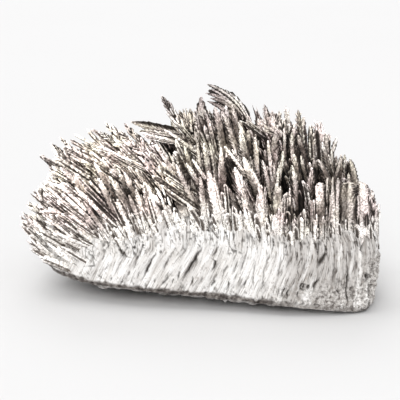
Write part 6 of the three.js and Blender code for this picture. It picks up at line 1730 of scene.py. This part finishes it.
def crystal_material():
    mat = bpy.data.materials.new("magnesite_crystal")
    nt, bsdf = nodes_of(mat)
    cav, rnd, tipf, white, well = (attr(nt, k) for k in ("cav", "rnd", "tipf", "white", "well"))
    # body colour differs from crystal to crystal
    body = ramp(nt, rnd, [(0.0, (0.52, 0.475, 0.45)), (0.22, (0.78, 0.73, 0.705)), (0.45, (0.92, 0.87, 0.845)),
                          (0.62, (0.80, 0.775, 0.72)), (0.82, (0.96, 0.93, 0.90)), (1.0, (1.0, 0.985, 0.965))])
    # times the tone stored under tipf: partly the crystals' own colour, partly painted light
    body = mix(nt, 1.0, body, ramp(nt, tipf, [(0.0, (0.0, 0.0, 0.0)), (1.0, (1.0, 1.0, 1.0))]), "MULTIPLY")
    patch = noise_tex(nt, 230.0, 3.0, 0.6)
    light = ramp(nt, patch, [(0.30, (0.80, 0.77, 0.75)), (0.50, (0.97, 0.955, 0.945)), (0.70, (1.10, 1.10, 1.09))])
    tint = mix(nt, 1.0, body, light, "MULTIPLY")
    hue = noise_tex(nt, 95.0, 2.0, 0.5, None, 11.0)
    cast = ramp(nt, hue, [(0.36, (1.03, 0.98, 1.01)), (0.50, (1.0, 1.0, 1.0)), (0.64, (1.0, 1.01, 0.94))])
    tint = mix(nt, 1.0, tint, cast, "MULTIPLY")
    grit = noise_tex(nt, 1500.0, 2.0, 0.7, None, 7.0)
    salt = ramp(nt, grit, [(0.37, (0.26, 0.235, 0.215)), (0.46, (0.88, 0.87, 0.86)), (0.54, (1.12, 1.12, 1.12)),
                           (0.62, (1.75, 1.75, 1.75))])
    tint = mix(nt, 0.80, tint, salt, "MULTIPLY")
    # painted light and shade: points that stand free are lightened, points sheltered between neighbours are darkened
    # towards black
    fleck = noise_tex(nt, 700.0, 3.0, 0.65, None, 4.0)
    open_ = math_(nt, "MULTIPLY", well, math_(nt, "SUBTRACT", 1.0, math_(nt, "MULTIPLY", white, 0.35)))
    deep = math_(nt, "ADD", open_, math_(nt, "MULTIPLY", math_(nt, "SUBTRACT", fleck, 0.5), 0.20))
    shade = ramp(nt, deep, [(0.03, (1.28, 1.28, 1.28)), (0.26, (1.08, 1.07, 1.06)), (0.39, (0.78, 0.75, 0.73)),
                            (0.48, (0.32, 0.285, 0.265)), (0.60, (0.045, 0.038, 0.033))])
    shaded_tint = mix(nt, 1.0, tint, shade, "MULTIPLY")
    # the same painted shade, milder, for the white crystals
    paler = ramp(nt, deep, [(0.10, (0.93, 0.92, 0.90)), (0.30, (0.86, 0.845, 0.815)), (0.42, (0.60, 0.57, 0.54)), (0.58, (0.10, 0.085, 0.075))])
    paler = mix(nt, 0.7, paler, salt, "MULTIPLY")
    shaded_tint = mix(nt, math_(nt, "MULTIPLY", white, 0.85), shaded_tint, paler)
    # painted highlight on crests, tips and lance ends, painted shade in the grooves between growth steps, at lance
    # roots and on the sides
    gr = math_(nt, "ADD", cav, math_(nt, "MULTIPLY", math_(nt, "SUBTRACT", fleck, 0.5), 0.5))
    gcol = ramp(nt, gr, [(0.07, (1.85, 1.85, 1.85)), (0.17, (1.28, 1.27, 1.26)), (0.32, (0.66, 0.625, 0.60)),
                         (0.48, (0.19, 0.165, 0.15)), (0.70, (0.045, 0.038, 0.033))])
    gwhite = ramp(nt, gr, [(0.06, (1.24, 1.24, 1.24)), (0.24, (0.98, 0.97, 0.96)), (0.40, (0.52, 0.49, 0.47)),
                           (0.62, (0.14, 0.12, 0.105))])
    groove = mix(nt, 1.0, shaded_tint, mix(nt, white, gcol, gwhite), "MULTIPLY")
    nt.links.new(groove, bsdf.inputs["Base Color"])
    bsdf.inputs["Roughness"].default_value = 0.62
    bsdf.inputs["Specular IOR Level"].default_value = 0.38
    fine = noise_tex(nt, 1400.0, 3.0, 0.6)
    bump(nt, bsdf, fine, 0.0003, 0.7)
    return mat


def mass_material():
    mat = bpy.data.materials.new("magnesite_mass")
    nt, bsdf = nodes_of(mat)
    cav, wallf, rim, fib, topm, well, grey_and_shade, along, up = (attr(nt, k) for k in ("cav", "wallf", "rim", "fib", "topm", "well", "grey_and_shade",
                                                                                   "along", "up"))
    streak = fibre_noise(nt, along, up, 1.5, 0.22, 3.0)
    broad = fibre_noise(nt, along, up, 0.50, 0.05, 2.0)
    mott = noise_tex(nt, 120.0, 4.0)
    chalk = ramp(nt, mott, [(0.30, (0.83, 0.805, 0.775)), (0.55, (0.93, 0.915, 0.90)), (0.8, (0.97, 0.965, 0.95))])
    # greyer on the right-hand end: partly the rock's grey bands, partly painted shade
    chalk = mix(nt, math_(nt, "MULTIPLY", grey_and_shade, 0.88), chalk, (0.50, 0.475, 0.455))
    fibc = mix(nt, math_(nt, "MULTIPLY", math_(nt, "SUBTRACT", 0.46, fib, True), 2.2, True), chalk, (0.60, 0.565, 0.53))
    amt = math_(nt, "ADD", math_(nt, "MULTIPLY", grey_and_shade, 0.55), math_(nt, "MULTIPLY", smoothstep(nt, wallf, 0.55, 0.9), 0.15))
    amt = math_(nt, "ADD", amt, 0.62, True)
    lines = ramp(nt, streak, [(0.31, (0.08, 0.07, 0.06)), (0.39, (0.48, 0.455, 0.435)), (0.46, (1.02, 1.02, 1.02)),
                              (0.62, (1.20, 1.20, 1.20))])
    bands = ramp(nt, broad, [(0.34, (0.66, 0.64, 0.625)), (0.48, (0.95, 0.945, 0.94)), (0.62, (1.10, 1.10, 1.10))])
    fibc = mix(nt, 1.0, fibc, mix(nt, amt, (1.0, 1.0, 1.0), bands), "MULTIPLY")
    fibc = mix(nt, 1.0, fibc, mix(nt, amt, (1.0, 1.0, 1.0), lines), "MULTIPLY")
    sugar = ramp(nt, noise_tex(nt, 1050.0, 3.0, 0.7, None, 13.0),
                 [(0.38, (0.18, 0.16, 0.145)), (0.46, (0.74, 0.72, 0.70)), (0.54, (1.10, 1.10, 1.09)), (0.63, (1.50, 1.50, 1.50))])
    sugar = mix(nt, 1.0, chalk, sugar, "MULTIPLY")
    fibc = mix(nt, math_(nt, "MULTIPLY", attr(nt, "gran"), 0.85), fibc, sugar)
    # painted shade: near black in the cracks, pits, valleys and seams
    dark = mix(nt, cav, fibc, (0.055, 0.047, 0.040))
    speck = noise_tex(nt, 900.0, 2.0, 0.6, None, 3.0)
    dots = ramp(nt, speck, [(0.60, (0, 0, 0)), (0.70, (1, 1, 1))])
    sep = nt.nodes.new("ShaderNodeSeparateColor")
    nt.links.new(dots, sep.inputs[0])
    spk = math_(nt, "MULTIPLY", sep.outputs[0], 0.50)
    dark = mix(nt, spk, dark, (0.36, 0.31, 0.27))
    # the underside's grey-brown crust; its near-black end is also painted shade under the front edge
    crust_n = noise_tex(nt, 520.0, 4.0, 0.65, None, 9.0)
    crust = ramp(nt, crust_n, [(0.34, (0.045, 0.038, 0.033)), (0.5, (0.15, 0.13, 0.12)), (0.66, (0.42, 0.39, 0.36))])
    rimmed = mix(nt, rim, dark, crust)
    # painted shade: the top of the mass between the crystals is painted near black, and parts of the upper wall
    # sheltered by neighbours are darkened
    crowned = mix(nt, topm, rimmed, (0.05, 0.04, 0.034))
    hid = mix(nt, math_(nt, "MULTIPLY", math_(nt, "SUBTRACT", well, 0.42, True), 2.6, True), crowned, (0.10, 0.08, 0.068))
    nt.links.new(hid, bsdf.inputs["Base Color"])
    bsdf.inputs["Roughness"].default_value = 0.86
    bsdf.inputs["Specular IOR Level"].default_value = 0.25
    fine = noise_tex(nt, 1300.0, 4.0, 0.65, None, 5.0)
    bump(nt, bsdf, fine, 0.0004, 0.7)
    return mat


def floor_material():
    mat = bpy.data.materials.new("studio_floor")
    nt, bsdf = nodes_of(mat)
    n = noise_tex(nt, 3.0, 2.0)
    col = ramp(nt, n, [(0.2, (0.728, 0.726, 0.727)), (0.8, (0.742, 0.740, 0.741))])
    nt.links.new(col, bsdf.inputs["Base Color"])
    bsdf.inputs["Roughness"].default_value = 0.9
    bsdf.inputs["Specular IOR Level"].default_value = 0.1
    return mat


# ---------------------------------------------------------------- build
mat_c = crystal_material()
NAMES = ("crystals_far_left", "crystals_left", "crystals_middle", "crystals_right", "crystals_far_right",
         "crystals_back_left", "crystals_back_right")
groups = {k: Bag() for k in NAMES}
# each crystal's share of the painted shade from crowding neighbours
stands = {k: [] for k in NAMES}     # how much of its neighbours' shelter a crystal takes
for i, (bx, by, bz, tx, ty, tz, w, kind, lead) in enumerate(CRYSTALS):
    front = ty < 10 or lead
    if front:
        key = NAMES[int(np.searchsorted([-38, -16, 8, 34], tx))]
    else:
        key = NAMES[5] if tx < 0 else NAMES[6]
    had = len(groups[key].v)
    crystal(groups[key], (bx, by, bz), (tx, ty, tz), w, kind, SEED + i * 7, 2 if lead else (1 if front else 0))
    stands[key] += [(0.50 if kind in "sv" else 0.66) if lead else 0.84] * (len(groups[key].v) - had)


# how full of crystal the space round a point is, on a grid of small cells
CELL = 0.5
LO = np.array([-68.0, -44.0, -4.0])
DIMS = np.ceil((np.array([68.0, 44.0, 78.0]) - LO) / CELL).astype(int)


def occupancy():
    g = np.zeros(DIMS, np.float32)
    X, Y = np.meshgrid(LO[0] + (np.arange(DIMS[0]) + 0.5) * CELL, LO[1] + (np.arange(DIMS[1]) + 0.5) * CELL, indexing="ij")
    h, q = crown_height(X, Y)
    Zc = LO[2] + (np.arange(DIMS[2]) + 0.5) * CELL
    g[(Zc[None, None, :] < h[..., None]) & (q[..., None] < 0.99) & (Zc[None, None, :] > 0)] = 1
    for bx, by, bz, tx, ty, tz, w, kind, lead in CRYSTALS:
        b, t = np.array([bx, by, bz]), np.array([tx, ty, tz])
        axis, e1, e2 = frame_of(t - b, 0.0)
        s = np.linspace(0, 0.97, 72)
        o = np.array([-0.40, -0.24, -0.08, 0.08, 0.24, 0.40]) * w
        P = (b[None, None, None] + (t - b) * s[:, None, None, None] + e1 * o[None, :, None, None]
             + e2 * (o * 0.6)[None, None, :, None]).reshape(-1, 3)
        i = np.floor((P - LO) / CELL).astype(int)
        i = np.clip(i, 0, DIMS - 1)
        g[i[:, 0], i[:, 1], i[:, 2]] = 1
    return g


def box_blur(g, r):
    for ax in range(3):
        c = np.cumsum(g, axis=ax, dtype=np.float64)
        z = np.zeros_like(np.take(c, [0], axis=ax))
        c = np.concatenate([z, c], axis=ax)
        n = g.shape[ax]
        hi, lo = np.minimum(np.arange(n) + r + 1, n), np.maximum(np.arange(n) - r, 0)
        g = (np.take(c, hi, axis=ax) - np.take(c, lo, axis=ax)) / (2 * r + 1)
    return g.astype(np.float32)


def sample(g, P):
    f = (P - LO) / CELL - 0.5
    f = np.clip(f, 0, np.array(g.shape) - 1.001)
    i = np.floor(f).astype(int)
    f = f - i
    out = 0.0
    for dx in (0, 1):
        for dy in (0, 1):
            for dz in (0, 1):
                wgt = ((f[:, 0] if dx else 1 - f[:, 0]) * (f[:, 1] if dy else 1 - f[:, 1]) * (f[:, 2] if dz else 1 - f[:, 2]))
                out = out + wgt * g[i[:, 0] + dx, i[:, 1] + dy, i[:, 2] + dz]
    return out


SOLID = occupancy()
NEAR, FAR = box_blur(box_blur(SOLID, 1), 1), box_blur(box_blur(SOLID, 4), 4)
# front, up and to the left: the side from which the painted shade is cast, standing in for the light
OPEN = np.array([-0.35, -0.45, 0.82])


def shelter(V, F, outer=False):
    """0 where a point stands free, 1 deep between its neighbours; the materials paint it as shade"""
    fn = np.cross(V[F[:, 1]] - V[F[:, 0]], V[F[:, 2]] - V[F[:, 0]])
    n = np.zeros_like(V)
    for k in range(3):
        np.add.at(n, F[:, k], fn)
    n /= np.maximum(np.linalg.norm(n, axis=1), 1e-9)[:, None]
    # the open side, from which the painted shade is cast as if by a light, is the front for the front half, the back
    # for the back half
    k = smooth(4.0, 22.0, V[:, 1])[:, None]
    side = np.clip(V[:, 0] / 60.0, -1, 1)
    away = np.stack([0.45 * side, np.full(len(V), 0.45), np.full(len(V), 0.82)], 1)
    to = OPEN[None] * (1 - k) + away * k
    to[:, 0] += 0.65 * smooth(42, 58, V[:, 0]) * (1 - k[:, 0])
    if outer:
        to = to + n * np.maximum(0.25 - (to * n).sum(1), 0)[:, None]
    near = sample(NEAR, V + n * 1.25 + to * 0.3)
    mid = sample(NEAR, V + n * 1.0 + to * 3.2)
    far = sample(FAR, V + n * 1.5 + to * 5.0)
    return np.clip(0.48 * np.clip((near - 0.33) / 0.45, 0, 1) + 0.30 * mid / 0.8 + 0.22 * np.clip((far - 0.05) / 0.5, 0, 1.2), 0, 1)


def place_attrs(V):
    """how white a point is; also its tone, partly the crystal's own colour and partly painted light, and how near it is
    to the foot of the crystals
    """
    ground, q = crown_height(V[:, 0], V[:, 1])
    ang = np.arctan2(V[:, 1] - CENTRE[1], V[:, 0] - CENTRE[0])
    t = np.linspace(0, 1, 720, endpoint=False)
    s = periodic(COLUMNS[:, 0:3], t)
    sa = np.arctan2(s[:, 1] - CENTRE[1], s[:, 0] - CENTRE[0])
    o = np.argsort(sa)
    zs = np.interp(ang, sa[o], s[o, 2], period=2 * np.pi)
    edge = smooth(0.74, 0.97, q)
    n_ = noise(V[:, 0] / 3.5, V[:, 1] / 3.5, V[:, 2] / 3.5, 5)
    white = edge * (1 - smooth(1.0, 11.0, V[:, 2] - zs + (n_ - 0.5) * 6))
    right = smooth(14, 30, V[:, 0] + (n_ - 0.5) * 10)
    feet = edge * (1 - smooth(1.0, 5.5, V[:, 2] - zs + (n_ - 0.5) * 3))
    white = white * (1 - right) + 0.66 * feet * right
    xn = V[:, 0] + (n_ - 0.5) * 12
    zn = V[:, 2] + (n_ - 0.5) * 8
    # tone: partly the crystals' own colour, partly painted light: paler to the left, darker to the right and near the
    # top
    tone_and_painted_light = 0.95 + 0.03 * smooth(-22, -36, xn) - 0.16 * smooth(-16, 2, xn) - 0.13 * smooth(18, 30, xn) - 0.08 * smooth(36, 48, xn)
    tone_and_painted_light = tone_and_painted_light - 0.17 * smooth(44, 56, zn) * (1 - smooth(0, 9, xn)) - 0.28 * smooth(60, 66, zn)
    foot = edge * (1 - smooth(0.5, 4.5, V[:, 2] - zs + (n_ - 0.5) * 3))
    return np.maximum(white, 0.48 * smooth(-38, -58, V[:, 0] + (n_ - 0.5) * 8)), tone_and_painted_light, foot


mass = build_mass(mass_material())
pieces = [mass]
total = len(mass.data.polygons)
for key, bag in groups.items():
    V = np.concatenate(bag.v)
    F = np.concatenate(bag.f)
    A = {k: np.concatenate(v) for k, v in bag.a.items()}
    A["white"], A["tipf"], foot = place_attrs(V)
    free = np.concatenate([np.full(len(v), f) for v, f in zip(bag.v, stands[key])])
    # painted shade from crowding neighbours, a little deeper to the right and lighter to the left and in the middle,
    # weaker at the feet, where the grooves' painted shade is a little stronger
    A["well"] = np.clip(shelter(V, F) * free + 0.03 * smooth(18, 30, V[:, 0]) - 0.02 * smooth(2, 8, V[:, 0]) * smooth(34, 28, V[:, 0])
                        - 0.055 * smooth(-18, -38, V[:, 0]), 0, 1) * (1 - 0.38 * foot)
    A["cav"] = np.clip(A["cav"] * (1 + 0.15 * foot), 0, 1)
    pieces.append(make_mesh(key, V, F, A, mat_c))
    total += len(F)
    print("piece", key, "triangles", len(F))
print("piece mass triangles", len(mass.data.polygons), "all", total)

for p in pieces:
    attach(p, "root")
    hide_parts("crystal_cluster")

# ---------------------------------------------------------------- floor, light, camera
def plane(name, size, z, material):
    h = size / 2
    mesh = bpy.data.meshes.new(name)
    mesh.from_pydata([(-h, -h, z), (h, -h, z), (h, h, z), (-h, h, z)], [], [(0, 1, 2, 3)])
    mesh.materials.append(material)
    o = bpy.data.objects.new(name, mesh)
    bpy.context.scene.collection.objects.link(o)
    return o


floor = plane("floor", 12.0, 0.0, floor_material())


def sun(name, towards, strength, angle, color=(1, 1, 1)):
    data = bpy.data.lights.new(name, "SUN")
    data.energy = strength
    data.angle = math.radians(angle)
    data.color = color
    o = bpy.data.objects.new(name, data)
    o.location = Vector(towards).normalized() * 1.5
    o.rotation_euler = Vector(towards).to_track_quat("Z", "Y").to_euler()
    bpy.context.scene.collection.objects.link(o)
    return o


sun("overhead", (-0.35, 0.05, 1.0), 0.75, 40)
sun("back", (-0.10, 1.0, 1.05), 0.55, 35)
sun("front", (-0.15, -1.0, 0.70), 1.1, 30)

world = bpy.data.worlds.new("studio")
bpy.context.scene.world = world
world.use_nodes = True
bg = world.node_tree.nodes["Background"]
bg.inputs[0].default_value = (1.0, 1.0, 1.0, 1)
bg.inputs[1].default_value = 0.75

cam_data = bpy.data.cameras.new("camera")
cam_data.lens = LENS
cam_data.sensor_width = 36.0
cam_data.dof.use_dof = False
cam = bpy.data.objects.new("camera", cam_data)
cam.location = tuple(CAMERA_AT * MM)
cam.rotation_euler = (math.radians(90 - CAMERA_TILT), 0, 0)
cam_data.clip_start = 0.01
cam_data.clip_end = 30.0
bpy.context.scene.collection.objects.link(cam)
bpy.context.scene.camera = cam

bpy.context.scene.view_settings.view_transform = "Standard"
bpy.context.scene.view_settings.look = "None"
bpy.context.scene.view_settings.exposure = 0.0
bpy.context.scene.view_settings.gamma = 1.0
